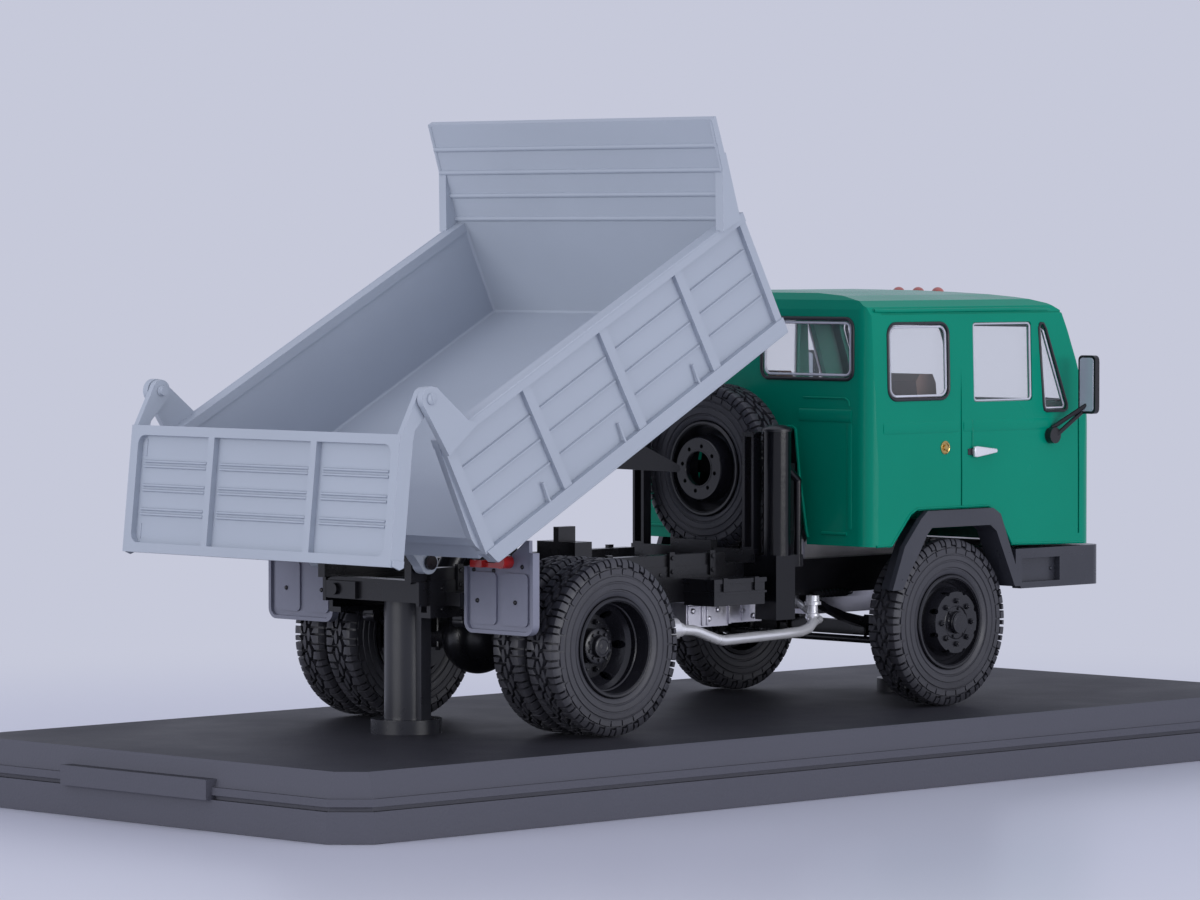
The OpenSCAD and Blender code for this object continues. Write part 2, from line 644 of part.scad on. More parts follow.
module dashboard() {
    color([0.10, 0.10, 0.11])
    translate([2.3, 0, 0]) union() {
        slab_y(-cab_half + 1.5, cab_half - 1.5) polygon([[88.6, 34.0], [93.4, 30.82], [94.4, 33.0], [93.4, 38.6], [92.3, 40.2], [90.6, 40.4]]);
        // steering column and wheel on the left
        bar([89.5, 12.5, 36.6], [84.6, 12.5, 41.9], 0.45);
        translate([84.4, 12.5, 42.1]) rotate([0, -43, 0]) rotate_extrude($fn = 48) translate([4.2, 0]) circle(r = 0.32, $fn = 16);
        translate([84.4, 12.5, 42.1]) rotate([0, -43, 0]) translate([-4.2, -0.35, -0.25]) cube([8.4, 0.7, 0.5]);
        box(88.0, 94.0, -2, 2, 30.82, 34.6);
    }
}

// ---------- arches, bumper and front ----------
module wheel_arch() {
    // black flare with its inner liner
    w = wheelbase;
    difference() {
        slab_y(-cab_half - 0.6, -20.4) polygon([
            [w - 13.5, 17.0], [w - 11.0, 23.0], [w - 7.6, 26.8], [w - 6.2, 27.9], [w + 7.7, 27.9], [w + 9.3, 27.0], [w + 13.9, 16.5],
            [w + 12.4, 16.5], [w + 8.4, 24.6], [w + 7.1, 25.5], [w - 5.3, 25.5], [w - 6.3, 24.6], [w - 7.7, 22.4], [w - 9.6, 19.8], [w - 11.4, 17.0]]);
        slab_y(-cab_half + 0.3, -10) polygon([
            [w - 15.2, 15], [w - 12.7, 23.8], [w - 7.7, 27.5], [w - 6.2, 28.0], [w + 7.7, 28.0], [w + 9.8, 27.2], [w + 13.5, 19.8], [w + 15, 15],
            [w + 13.3, 15], [w + 8.8, 25.7], [w + 7.3, 26.7], [w - 5.8, 26.7], [w - 7.3, 25.6], [w - 9.0, 22.9], [w - 12.2, 16.2]]);
    }
}
module wheel_arch_right() { color([0.07, 0.07, 0.08]) wheel_arch(); }
module wheel_arch_left() { color([0.07, 0.07, 0.08]) mirror([0, 1, 0]) wheel_arch(); }

module bumper() {
    h = cab_half + 0.2;
    color([0.08, 0.08, 0.09])
    difference() {
        translate([0, 0, 16.1]) linear_extrude(5.7) union() {
            translate([82.3, -h]) square([17.0, 2 * h]);
            translate([82.3, -h + 2]) square([19.0, 2 * h - 4]);
            for (s = [-1, 1]) translate([99.3, s * (h - 2.0)]) circle(r = 2.0, $fn = 48);
        }
        // hollow behind the skin
        box(81, 98.4, -h + 1.6, h - 1.6, 15, 20.8);
        box(81, 98.4, -rail_y - 0.4, rail_y + 0.4, 15, 23);
        // side step recess
        mirror_pair() box(83.7, 91.9, -h - 1, -h + 1.0, 17.0, 20.4);
        // clearance behind the flare
        mirror_pair() slab_y(-h - 1, -16.6) polygon([[82, 19.1], [82.3, 18.8], [83.4, 16.2], [83.4, 16.0], [82, 16.0]]);
        // front openings
        mirror_pair() slab_x(100.4, 103) rrect(-20, -12, 17.2, 20.6, 0.6);
        slab_x(100.4, 103) rrect(-8, 8, 17.2, 20.6, 0.6);
    }
}

module front_grille() {
    color([0.16, 0.16, 0.17])
    difference() {
        slab_x(cab_front - 0.3, cab_front + 0.5) rrect(-12, 12, 25.6, 33.2, 1.2);
        for (i = [0:4]) box(cab_front + 0.1, cab_front + 1, -10.8, 10.8, 26.6 + 1.25 * i, 27.25 + 1.25 * i);
        cab_solid(0);
    }
}

module headlamp() {
    union() {
        difference() {
            rod_x(-17.2, 28.6, 2.7, cab_front - 1.4, cab_front + 0.5, 40);
            cab_solid(0);
        }
        translate([cab_front + 0.5, -17.2, 28.6]) scale([0.25, 1, 1]) sphere(r = 2.35, $fn = 32);
    }
}
module headlamps() { color([0.80, 0.80, 0.82]) mirror_pair() headlamp(); }

module roof_lamps() {
    color([0.66, 0.18, 0.12])
    difference() {
        for (y = [-3.85, 0, 3.85]) translate([87.7, y, 56.7]) union() {
            cylinder(r = 0.98, h = 1.55, $fn = 24);
            translate([0, 0, 1.5]) scale([1, 1, 0.95]) sphere(r = 0.95, $fn = 24);
        }
        cab_solid(0);
    }
}

module mirror_unit() {
    translate([2.3, 2.4, 0]) union() {
        slab_x(91.0, 91.9) rrect(-31.6, -28.4, 41.0, 49.4, 0.7);
        slab_x(91.6, 92.4) rrect(-31.2, -28.8, 41.5, 48.9, 0.5);
        bar([87.6, -26.2, 37.2], [91.5, -29.2, 41.6], 0.32, 16);
        bar([87.9, -26.2, 39.0], [91.5, -30.2, 42.6], 0.32, 16);
        rod_y(87.7, 37.9, 1.15, -27.0, -25.9, 28);
    }
}
module mirrors() {
    color([0.08, 0.08, 0.09])
    difference() {
        mirror_pair() mirror_unit();
        cab_solid(0);
    }
}

// ---------- bed, drawn in bed axes: origin on the hinge, x along the floor ----------
module bed_axes() { translate([-hinge_x, 0, hinge_z]) rotate([0, -bed_tilt, 0]) children(); }

ear_u = -2.6;
ear_w = 26.6;
rib_u = [13.2, 29.0, 45.0];

module bed_side() {
    // side skin
    slab_y(-bed_in - 1.0, -bed_in) polygon([
        [-3.2, bed_top], [-3.9, bed_floor], [-3.7, 5.4], [-1.9, 1.9], [bed_front, 1.9], [bed_front, bed_top - 0.4]]);
    // top and bottom rails
    slab_y(-bed_in - 1.9, -bed_in + 0.2) polygon([
        [-3.2, bed_top - 1.3], [-3.15, bed_top], [bed_front - 0.2, bed_top - 0.4], [bed_front - 0.2, bed_top - 1.7]]);
    slab_y(-bed_in - 1.9, -bed_in) polygon([[-2.9, 4.1], [-1.9, 1.9], [bed_front, 1.9], [bed_front, 4.1]]);
    // corner posts and ribs
    slab_y(-bed_in - 1.7, -bed_in) polygon([[-3.1, 3.8], [-1.3, 3.8], [-1.5, bed_top - 1], [-3.1, bed_top - 1]]);
    slab_y(-bed_in - 1.7, -bed_in) polygon([[bed_front - 1.3, 3.8], [bed_front - 0.1, 3.8], [bed_front - 0.2, bed_top - 1.5], [bed_front - 1.4, bed_top - 1.5]]);
    for (u = rib_u) slab_y(-bed_in - 1.7, -bed_in) polygon([[u, 3.9], [u + 1.5, 3.9], [u + 0.9, bed_top - 1], [u - 0.6, bed_top - 1]]);
    // hinge ear over the rear corner, with its pin
    slab_y(-bed_in - 2.4, -bed_in - 1.45) union() {
        polygon([[-3.3, bed_top - 2.2], [3.2, bed_top - 1.0], [1.8, bed_top + 0.2], [ear_u + 1.5, ear_w + 0.9], [ear_u - 1.55, ear_w - 0.2]]);
        translate([ear_u, ear_w]) circle(r = 1.6, $fn = 32);
    }
    rod_y(ear_u, ear_w, 0.6, -bed_in - 2.0, -bed_in + 0.3, 28);
}

module bed_tub() {
    color([0.62, 0.66, 0.74])
    bed_axes() union() {
        // load floor
        box(-3.7, 57.2, -bed_in - 0.2, bed_in + 0.2, 5.4, bed_floor);
        mirror_pair() bed_side();
        // headboard panel below the rail, bent forward above it
        slab_y(-bed_in - 0.2, bed_in + 0.2) polygon([
            [56.4, 1.9], [56.4, bed_floor - 0.2], [57.0, bed_top - 0.3], [58.1, bed_top - 0.3], [57.5, 1.9]]);
        slab_y(-27.9, 27.9) polygon([[57.0, bed_top - 0.6], [59.6, 34.6], [60.5, 34.6], [58.2, bed_top - 0.6]]);
        // headboard posts and cross ribs
        for (y = [-12.5, 11.3]) slab_y(y, y + 1.2) polygon([[57.4, 2.0], [58.9, 2.0], [59.4, 19.6], [60.7, 30.0], [59.6, 30.0], [57.9, 20.2]]);
        box(57.3, 58.9, -bed_in - 0.2, bed_in + 0.2, 1.9, 3.4);
        // gussets between visor and side rails
        mirror_pair() slab_y(-27.9, -bed_in - 1.3) polygon([[54.5, bed_top - 0.5], [59.2, 29.4], [59.9, 29.4], [58.2, bed_top - 0.7]]);
    }
}

module bed_underframe() {
    color([0.56, 0.60, 0.68])
    bed_axes() union() {
        mirror_pair() box(-1.4, 56.2, -10.4, -8.6, 2.0, 5.4);
        for (u = [-2.2, 13.0, 31.4, 44.8, 54.4]) box(u, u + 1.8, -bed_in, bed_in, 3.4, 5.4);
        box(-3.0, 0.2, -bed_in + 0.05, bed_in - 0.05, 3.0, 5.4);
        // hinge eyes
        mirror_pair() difference() {
            slab_y(-11.2, -9.5) union() {
                circle(r = 1.55, $fn = 32);
                polygon([[-2.6, 5.0], [-1.5, 0.2], [1.5, -0.2], [4.2, 2.2], [4.8, 5.0]]);
            }
            rod_y(0, 0, 0.86, -12, -9);
        }
        // upper ram clevis
        box(ram_u - 3.4, ram_u + 3.0, -8.7, 8.7, 4.1, 5.4);
        mirror_pair() difference() {
            slab_y(-3.0, -1.9) polygon([[ram_u - 1.6, 4.3], [ram_u + 1.6, 4.3], [ram_u + 0.9, -0.5], [ram_u - 0.9, -0.5]]);
            rod_y(ram_u, ram_w, 0.55, -4, -1);
        }
        // prop lug
        box(34.0, 38.6, -8.7, 8.7, 3.6, 5.4);
        difference() {
            slab_y(-8.0, -6.9) polygon([[35.0, 3.8], [37.9, 3.8], [37.3, 0.4], [35.5, 0.4]]);
        }
        rod_y(36.4, 1.4, 0.45, -7.6, -5.3, 24);
    }
}

module tailgate() {
    color([0.66, 0.70, 0.78])
    bed_axes() translate([ear_u, 0, ear_w]) rotate([0, gate_open, 0]) translate([-ear_u, 0, -ear_w])
    union() {
        difference() {
            box(-6.5, -4.2, -26.5, 26.5, 4.7, 21.7);
            // pressed field on the outside, split by two uprights
            slab_x(-7.5, -5.6) difference() {
                rrect(-25.0, 25.0, 6.0, 20.4, 1.3);
                for (y = [-10.7, 9.5]) translate([y, 5]) square([1.2, 17]);
            }
        }
        // arms to the ears
        mirror_pair() difference() {
            slab_y(-26.5, -25.65) union() {
                polygon([[-6.5, 21.0], [-4.2, 21.0], [-4.0, 22.4], [ear_u + 1.3, ear_w - 0.8], [ear_u - 1.2, ear_w + 0.9]]);
                translate([ear_u, ear_w]) circle(r = 1.5, $fn = 32);
            }
            rod_y(ear_u, ear_w, 0.66, -27, -25, 28);
        }
    }
}

// ---------- lift ----------
ram_a = [-9, 0, 18.0];
ram_u = 27;
ram_w = 0.4;
ram_b = [-hinge_x + ram_u * cos(bed_tilt) - ram_w * sin(bed_tilt), 0, hinge_z + ram_u * sin(bed_tilt) + ram_w * cos(bed_tilt)];
ram_ang = atan2(ram_b[2] - ram_a[2], ram_b[0] - ram_a[0]);
ram_len = norm(ram_b - ram_a);

module ram_axes() { translate(ram_a) rotate([0, -ram_ang, 0]) children(); }

module ram_cylinder() {
    color([0.07, 0.07, 0.08])
    ram_axes() difference() {
        union() {
            rod_x(0, 0, 1.6, 1.0, 14.4, mid);
            rod_y(0, 0, 1.25, -1.7, 1.7);
            rod_x(0, 0, 1.2, 0, 1.2);
        }
        rod_x(0, 0, 1.02, 1.9, 15, mid);
        rod_y(0, 0, 0.66, -2, 2);
    }
}

module ram_rod() {
    color([0.72, 0.72, 0.75])
    ram_axes() difference() {
        union() {
            rod_x(0, 0, 0.95, ram_len - 13.9, ram_len, mid);
            rod_y(ram_len, 0, 1.15, -1.6, 1.6);
        }
        rod_y(ram_len, 0, 0.55, -2, 2);
    }
}

// folding prop with two converging legs
prop_p = [-hinge_x + 36.4 * cos(bed_tilt) - 1.4 * sin(bed_tilt), hinge_z + 36.4 * sin(bed_tilt) + 1.4 * cos(bed_tilt)];
module bed_prop() {
    color([0.07, 0.07, 0.08])
    difference() {
        slab_y(-6.6, -5.5) polygon([
            [prop_p[0] - 1.1, prop_p[1] + 0.5], [prop_p[0] + 0.5, prop_p[1] + 1.0], [31.2, 34.75], [31.4, 34.2], [31.0, 33.8],
            [prop_p[0] + 3.6, 34.9], [prop_p[0] + 2.6, 35.6], [prop_p[0] - 1.2, prop_p[1] - 0.6]]);
        slab_y(-6.2, -4) polygon([[prop_p[0] + 1.7, prop_p[1] - 0.9], [28.2, 35.5], [prop_p[0] + 3.6, 36.0]]);
        rod_y(prop_p[0], prop_p[1], 0.51, -7, -5, 24);
    }
}

place() plinth();
place() pillar_rear();
place() pillar_front();
place() chassis_frame();
place() rear_axle();
place() front_axle();
place() engine_gearbox();
place() propshaft();
place() exhaust();
place() battery_box();
place() fuel_tank();
place() intake_column();
place() spare_carrier();
place() rim_spare();
place() tyre_spare();
place() mudflaps();
place() tail_lamps();
place() cab_shell();
place() cab_glazing();
place() cab_floor();
place() seats();
place() dashboard();
place() wheel_arch_right();
place() wheel_arch_left();
place() bumper();
place() front_grille();
place() headlamps();
place() roof_lamps();
place() mirrors();
place() rim_front_right();
place() tyre_front_right();
place() rim_front_left();
place() tyre_front_left();
place() rims_rear_right();
place() tyres_rear_right();
place() rims_rear_left();
place() tyres_rear_left();
place() bed_tub();
place() bed_underframe();
place() tailgate();
place() ram_cylinder();
place() ram_rod();
place() bed_prop();
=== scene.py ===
import math

import bmesh
import bpy
from mathutils import Matrix, Vector


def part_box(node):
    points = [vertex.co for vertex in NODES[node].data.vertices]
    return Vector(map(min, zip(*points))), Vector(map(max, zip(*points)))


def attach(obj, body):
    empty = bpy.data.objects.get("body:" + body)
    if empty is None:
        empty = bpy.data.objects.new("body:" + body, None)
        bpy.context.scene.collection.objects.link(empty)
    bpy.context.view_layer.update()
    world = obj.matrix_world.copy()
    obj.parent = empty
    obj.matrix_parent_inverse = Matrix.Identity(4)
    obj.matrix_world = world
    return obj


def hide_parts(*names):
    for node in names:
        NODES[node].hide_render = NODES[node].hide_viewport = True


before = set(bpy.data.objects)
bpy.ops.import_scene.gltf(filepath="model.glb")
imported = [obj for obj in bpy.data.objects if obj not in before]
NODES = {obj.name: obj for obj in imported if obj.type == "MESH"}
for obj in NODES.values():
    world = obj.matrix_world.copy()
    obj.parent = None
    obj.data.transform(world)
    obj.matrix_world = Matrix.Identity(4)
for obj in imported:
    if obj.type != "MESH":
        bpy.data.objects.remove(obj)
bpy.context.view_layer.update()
ROOT = "truck_on_plinth"

# ------------------------------------------------------------------ axes
# Truck axes in mm: x = 0 at the rear axle, z = 0 on the plinth top.
lo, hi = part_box("plinth")
PL_LO, PL_HI = lo, hi
OX, OZ = 34.5, 8.8
AXLE_Z = 11.94
WB = 69.3
TYRE_R, TYRE_W, RIM_R, GAP = 11.84, 5.5, 6.7, 0.9
FRONT_HALF, REAR_HALF = 23.1, 25.7
TWIN = 2 * TYRE_W + GAP
CAB_HALF, CAB_REAR, CAB_FRONT, CAB_TOP = 23.6, 51.6, 99.7, 58.9
TILT, GATE = 28.2, 34.3
HX, HZ = 20.5, 23.5
BED_IN, BED_TOP, BED_FLOOR, BED_FRONT = 25.2, 20.8, 6.5, 60.0
EAR_U, EAR_W = -2.6, 26.6

I4 = Matrix.Identity(4)


def T(x, y, z):
    return Matrix.Translation((x, y, z))


def R(deg, axis):
    return Matrix.Rotation(math.radians(deg), 4, axis)


BED = T(-HX, 0, HZ) @ R(-TILT, "Y")
GATE_M = BED @ T(EAR_U, 0, EAR_W) @ R(GATE, "Y") @ T(-EAR_U, 0, -EAR_W)


def on_right(x, half):
    return T(x, -half, AXLE_Z) @ R(90, "X")


def on_left(x, half):
    return T(x, half, AXLE_Z) @ R(-90, "X")


SPARE = T(42.6, 0, 33.8) @ R(-90, "Y")


# ------------------------------------------------------------------ materials
def srgb(r, g, b):
    out = []
    for c in (r, g, b):
        c = c / 255.0
        out.append(c / 12.92 if c <= 0.04045 else ((c + 0.055) / 1.055) ** 2.4)
    return out


def material(name, base, rough=0.5, metal=0.0, grain=0.2, grain_scale=2600.0, vary=0.08, vary_scale=90.0,
             rough_vary=0.08, coat=0.0, coat_rough=0.08, ior=1.5, wear=None, wear_amount=0.0, alpha=1.0,
             transmission=0.0, streak=False, spec=0.5, side=None):
    m = bpy.data.materials.new(name)
    m.use_nodes = True
    nt = m.node_tree
    b = nt.nodes["Principled BSDF"]
    L = nt.links.new
    co = nt.nodes.new("ShaderNodeTexCoord")
    mp = nt.nodes.new("ShaderNodeMapping")
    if streak:
        mp.inputs["Scale"].default_value = (0.15, 1.0, 1.0)
    L(co.outputs["Object"], mp.inputs["Vector"])
    big = nt.nodes.new("ShaderNodeTexNoise")
    big.inputs["Scale"].default_value = vary_scale
    big.inputs["Detail"].default_value = 4.0
    big.inputs["Roughness"].default_value = 0.6
    L(mp.outputs["Vector"], big.inputs["Vector"])
    fine = nt.nodes.new("ShaderNodeTexNoise")
    fine.inputs["Scale"].default_value = grain_scale
    fine.inputs["Detail"].default_value = 3.0
    L(mp.outputs["Vector"], fine.inputs["Vector"])
    # colour: a gentle cloudiness, then specks of wear
    ramp = nt.nodes.new("ShaderNodeValToRGB")
    ramp.color_ramp.elements[0].position = 0.3
    ramp.color_ramp.elements[1].position = 0.7
    ramp.color_ramp.elements[0].color = [c * (1 - vary) for c in base] + [1]
    ramp.color_ramp.elements[1].color = [min(1, c * (1 + vary)) for c in base] + [1]
    L(big.outputs["Fac"], ramp.inputs["Fac"])
    colour = ramp.outputs["Color"]
    if wear is not None and wear_amount > 0:
        sp = nt.nodes.new("ShaderNodeTexNoise")
        sp.inputs["Scale"].default_value = grain_scale * 0.35
        sp.inputs["Detail"].default_value = 6.0
        sp.inputs["Roughness"].default_value = 0.75
        L(mp.outputs["Vector"], sp.inputs["Vector"])
        sr = nt.nodes.new("ShaderNodeMapRange")
        sr.inputs["From Min"].default_value = 0.60
        sr.inputs["From Max"].default_value = 0.78
        sr.inputs["To Min"].default_value = 0.0
        sr.inputs["To Max"].default_value = wear_amount
        L(sp.outputs["Fac"], sr.inputs["Value"])
        mx = nt.nodes.new("ShaderNodeMix")
        mx.data_type = "RGBA"
        L(sr.outputs["Result"], mx.inputs["Factor"])
        L(colour, mx.inputs["A"])
        mx.inputs["B"].default_value = list(wear) + [1]
        colour = mx.outputs["Result"]
    if side is not None:
        # painted light: upright faces get a lighter base colour than the grained top, standing in for the brighter
        # light they catch
        ge = nt.nodes.new("ShaderNodeNewGeometry")
        sx = nt.nodes.new("ShaderNodeSeparateXYZ")
        L(ge.outputs["True Normal"], sx.inputs["Vector"])
        mr = nt.nodes.new("ShaderNodeMapRange")
        mr.inputs["From Min"].default_value = 0.97
        mr.inputs["From Max"].default_value = 0.80
        L(sx.outputs["Z"], mr.inputs["Value"])
        painted_light_mix = nt.nodes.new("ShaderNodeMix")
        painted_light_mix.data_type = "RGBA"
        L(mr.outputs["Result"], painted_light_mix.inputs["Factor"])
        L(colour, painted_light_mix.inputs["A"])
        painted_light_mix.inputs["B"].default_value = list(side) + [1]
        colour = painted_light_mix.outputs["Result"]
    L(colour, b.inputs["Base Color"])
    rr = nt.nodes.new("ShaderNodeMapRange")
    rr.inputs["From Min"].default_value = 0.3
    rr.inputs["From Max"].default_value = 0.7
    rr.inputs["To Min"].default_value = max(0.02, rough - rough_vary)
    rr.inputs["To Max"].default_value = min(1.0, rough + rough_vary)
    L(big.outputs["Fac"], rr.inputs["Value"])
    L(rr.outputs["Result"], b.inputs["Roughness"])
    if grain > 0:
        bp = nt.nodes.new("ShaderNodeBump")
        bp.inputs["Strength"].default_value = grain
        bp.inputs["Distance"].default_value = 0.00006
        L(fine.outputs["Fac"], bp.inputs["Height"])
        L(bp.outputs["Normal"], b.inputs["Normal"])
    b.inputs["Metallic"].default_value = metal
    b.inputs["IOR"].default_value = ior
    b.inputs["Specular IOR Level"].default_value = spec
    b.inputs["Coat Weight"].default_value = coat
    b.inputs["Coat Roughness"].default_value = coat_rough
    b.inputs["Alpha"].default_value = alpha
    b.inputs["Transmission Weight"].default_value = transmission
    return m


M = {}
# the plinth's side colour is painted light: a lighter tone on its upright faces
M["plinth"] = material("plinth_grained_black", (0.026, 0.026, 0.033), rough=0.55, grain=1.0, grain_scale=2400, vary=0.14,
                       wear=(0.080, 0.080, 0.094), wear_amount=0.45, vary_scale=40, spec=0.22, side=(0.094, 0.095, 0.116))
M["foot"] = material("pillar_dark_satin", (0.024, 0.025, 0.031), rough=0.33, grain=0.10, vary=0.1)
M["black_metal"] = material("frame_black_satin", (0.007, 0.007, 0.009), rough=0.27, grain=0.22, vary=0.15,
                            wear=(0.035, 0.035, 0.04), wear_amount=0.2)
M["black_plastic"] = material("moulded_black", (0.010, 0.010, 0.013), rough=0.28, grain=0.22, vary=0.12,
                              wear=(0.04, 0.04, 0.047), wear_amount=0.18)
M["flare"] = material("flare_dark_grey", (0.042, 0.044, 0.056), rough=0.32, grain=0.22, vary=0.08,
                      wear=(0.09, 0.09, 0.10), wear_amount=0.2)
M["bare_metal"] = material("cast_silver", (0.62, 0.61, 0.66), rough=0.36, metal=0.9, grain=0.35, grain_scale=1800, vary=0.12,
                           wear=(0.25, 0.25, 0.27), wear_amount=0.35)
M["tyre"] = material("tyre_rubber", (0.043, 0.043, 0.052), rough=0.46, grain=0.45, grain_scale=2200, vary=0.18, vary_scale=140,
                     wear=(0.10, 0.10, 0.108), wear_amount=0.35)
M["rim"] = material("rim_black", (0.013, 0.013, 0.017), rough=0.25, grain=0.18, vary=0.12,
                    wear=(0.08, 0.08, 0.09), wear_amount=0.25)
M["cab_paint"] = material("cab_green_gloss", (0.0, 0.262, 0.165), rough=0.24, grain=0.06, grain_scale=1500, vary=0.05,
                          vary_scale=35, rough_vary=0.05, coat=0.02, coat_rough=0.06, wear=(0.01, 0.31, 0.21), wear_amount=0.15, spec=0.12)
M["bed_paint"] = material("bed_pale_blue_grey", (0.412, 0.455, 0.520), rough=0.45, grain=0.12, grain_scale=1600, vary=0.03,
                          vary_scale=30, rough_vary=0.06, wear=(0.50, 0.53, 0.61), wear_amount=0.2)
M["glass"] = material("clear_window", (0.78, 0.84, 0.88), rough=0.04, grain=0.0, vary=0.02, rough_vary=0.02, alpha=0.06)
M["seat"] = material("seat_brown", (0.19, 0.105, 0.08), rough=0.62, grain=0.6, grain_scale=1500, vary=0.12,
                     wear=(0.30, 0.19, 0.15), wear_amount=0.3)
M["red_lens"] = material("red_lens", (0.50, 0.018, 0.018), rough=0.18, grain=0.05, vary=0.1, coat=0.6)
M["orange_lens"] = material("roof_lamp_lens", (0.50, 0.13, 0.11), rough=0.22, grain=0.08, vary=0.12, coat=0.5)
M["amber"] = material("amber_lens", (0.60, 0.22, 0.03), rough=0.2, grain=0.06, vary=0.1, coat=0.5)
M["lamp"] = material("lamp_lens", (0.72, 0.73, 0.76), rough=0.14, metal=0.35, grain=0.15, grain_scale=900, vary=0.06, coat=0.8)
M["steel"] = material("bright_steel", (0.70, 0.70, 0.73), rough=0.20, metal=1.0, grain=0.12, vary=0.05, streak=True)
M["seal"] = material("window_seal_black", (0.020, 0.020, 0.026), rough=0.32, grain=0.15, vary=0.1)
# painted highlight: a pale opaque colour for the pane edges, standing in for the light the clear edges catch
M["painted_pane_glint"] = material("pane_edge_painted_highlight", (0.66, 0.67, 0.74), rough=0.16, grain=0.05, vary=0.06, coat=0.4)
# painted reflection: the mirror face is a pale bluish diffuse colour standing in for the sky it reflects
M["mirror_glass"] = material("mirror_face_painted_reflection", (0.50, 0.54, 0.62), rough=0.20, metal=0.25, grain=0.03, vary=0.05)
M["gloss_black"] = material("gloss_black_moulding", (0.004, 0.004, 0.006), rough=0.19, grain=0.15, vary=0.12, spec=0.36,
                            wear=(0.05, 0.05, 0.06), wear_amount=0.15)
# painted reflection: the mudflaps' pale bluish grey stands in for the sky reflected in their dark plastic
M["flap"] = material("mudflap_painted_sky_reflection", (0.210, 0.218, 0.280), rough=0.36, grain=0.3, vary=0.08,
                     wear=(0.24, 0.24, 0.28), wear_amount=0.2)
M["chrome"] = material("polished_pipe", (0.93, 0.93, 0.95), rough=0.24, metal=0.45, grain=0.10, vary=0.05)
M["brass"] = material("brass_fitting", (0.62, 0.44, 0.16), rough=0.24, metal=1.0, grain=0.3, vary=0.15)
M["handle"] = material("door_handle_silver", (0.83, 0.83, 0.86), rough=0.26, metal=0.55, grain=0.1, vary=0.04)

BY_NODE = {
    "plinth": "plinth", "pillar_rear": "foot", "pillar_front": "foot", "chassis_frame": "black_metal",
    "rear_axle": "black_plastic", "front_axle": "black_plastic", "engine_gearbox": "bare_metal", "propshaft": "black_plastic",
    "exhaust": "chrome", "battery_box": "black_plastic", "fuel_tank": "black_plastic", "intake_column": "gloss_black",
    "spare_carrier": "black_plastic", "rim_spare": "rim", "tyre_spare": "tyre", "mudflaps": "flap",
    "tail_lamps": "red_lens", "cab_shell": "cab_paint", "cab_glazing": "glass", "cab_floor": "black_plastic",
    "seats": "seat", "dashboard": "black_plastic", "wheel_arch_right": "flare", "wheel_arch_left": "flare", "bumper": "flare",
    "front_grille": "black_plastic", "headlamps": "lamp", "roof_lamps": "orange_lens", "mirrors": "black_plastic",
    "rim_front_right": "rim", "tyre_front_right": "tyre", "rim_front_left": "rim", "tyre_front_left": "tyre",
    "rims_rear_right": "rim", "tyres_rear_right": "tyre", "rims_rear_left": "rim", "tyres_rear_left": "tyre",
    "bed_tub": "bed_paint", "bed_underframe": "bed_paint", "tailgate": "bed_paint", "ram_cylinder": "black_metal",
    "ram_rod": "steel", "bed_prop": "gloss_black"}
for n, o in NODES.items():
    o.data.materials.clear()
    o.data.materials.append(M[BY_NODE[n]])


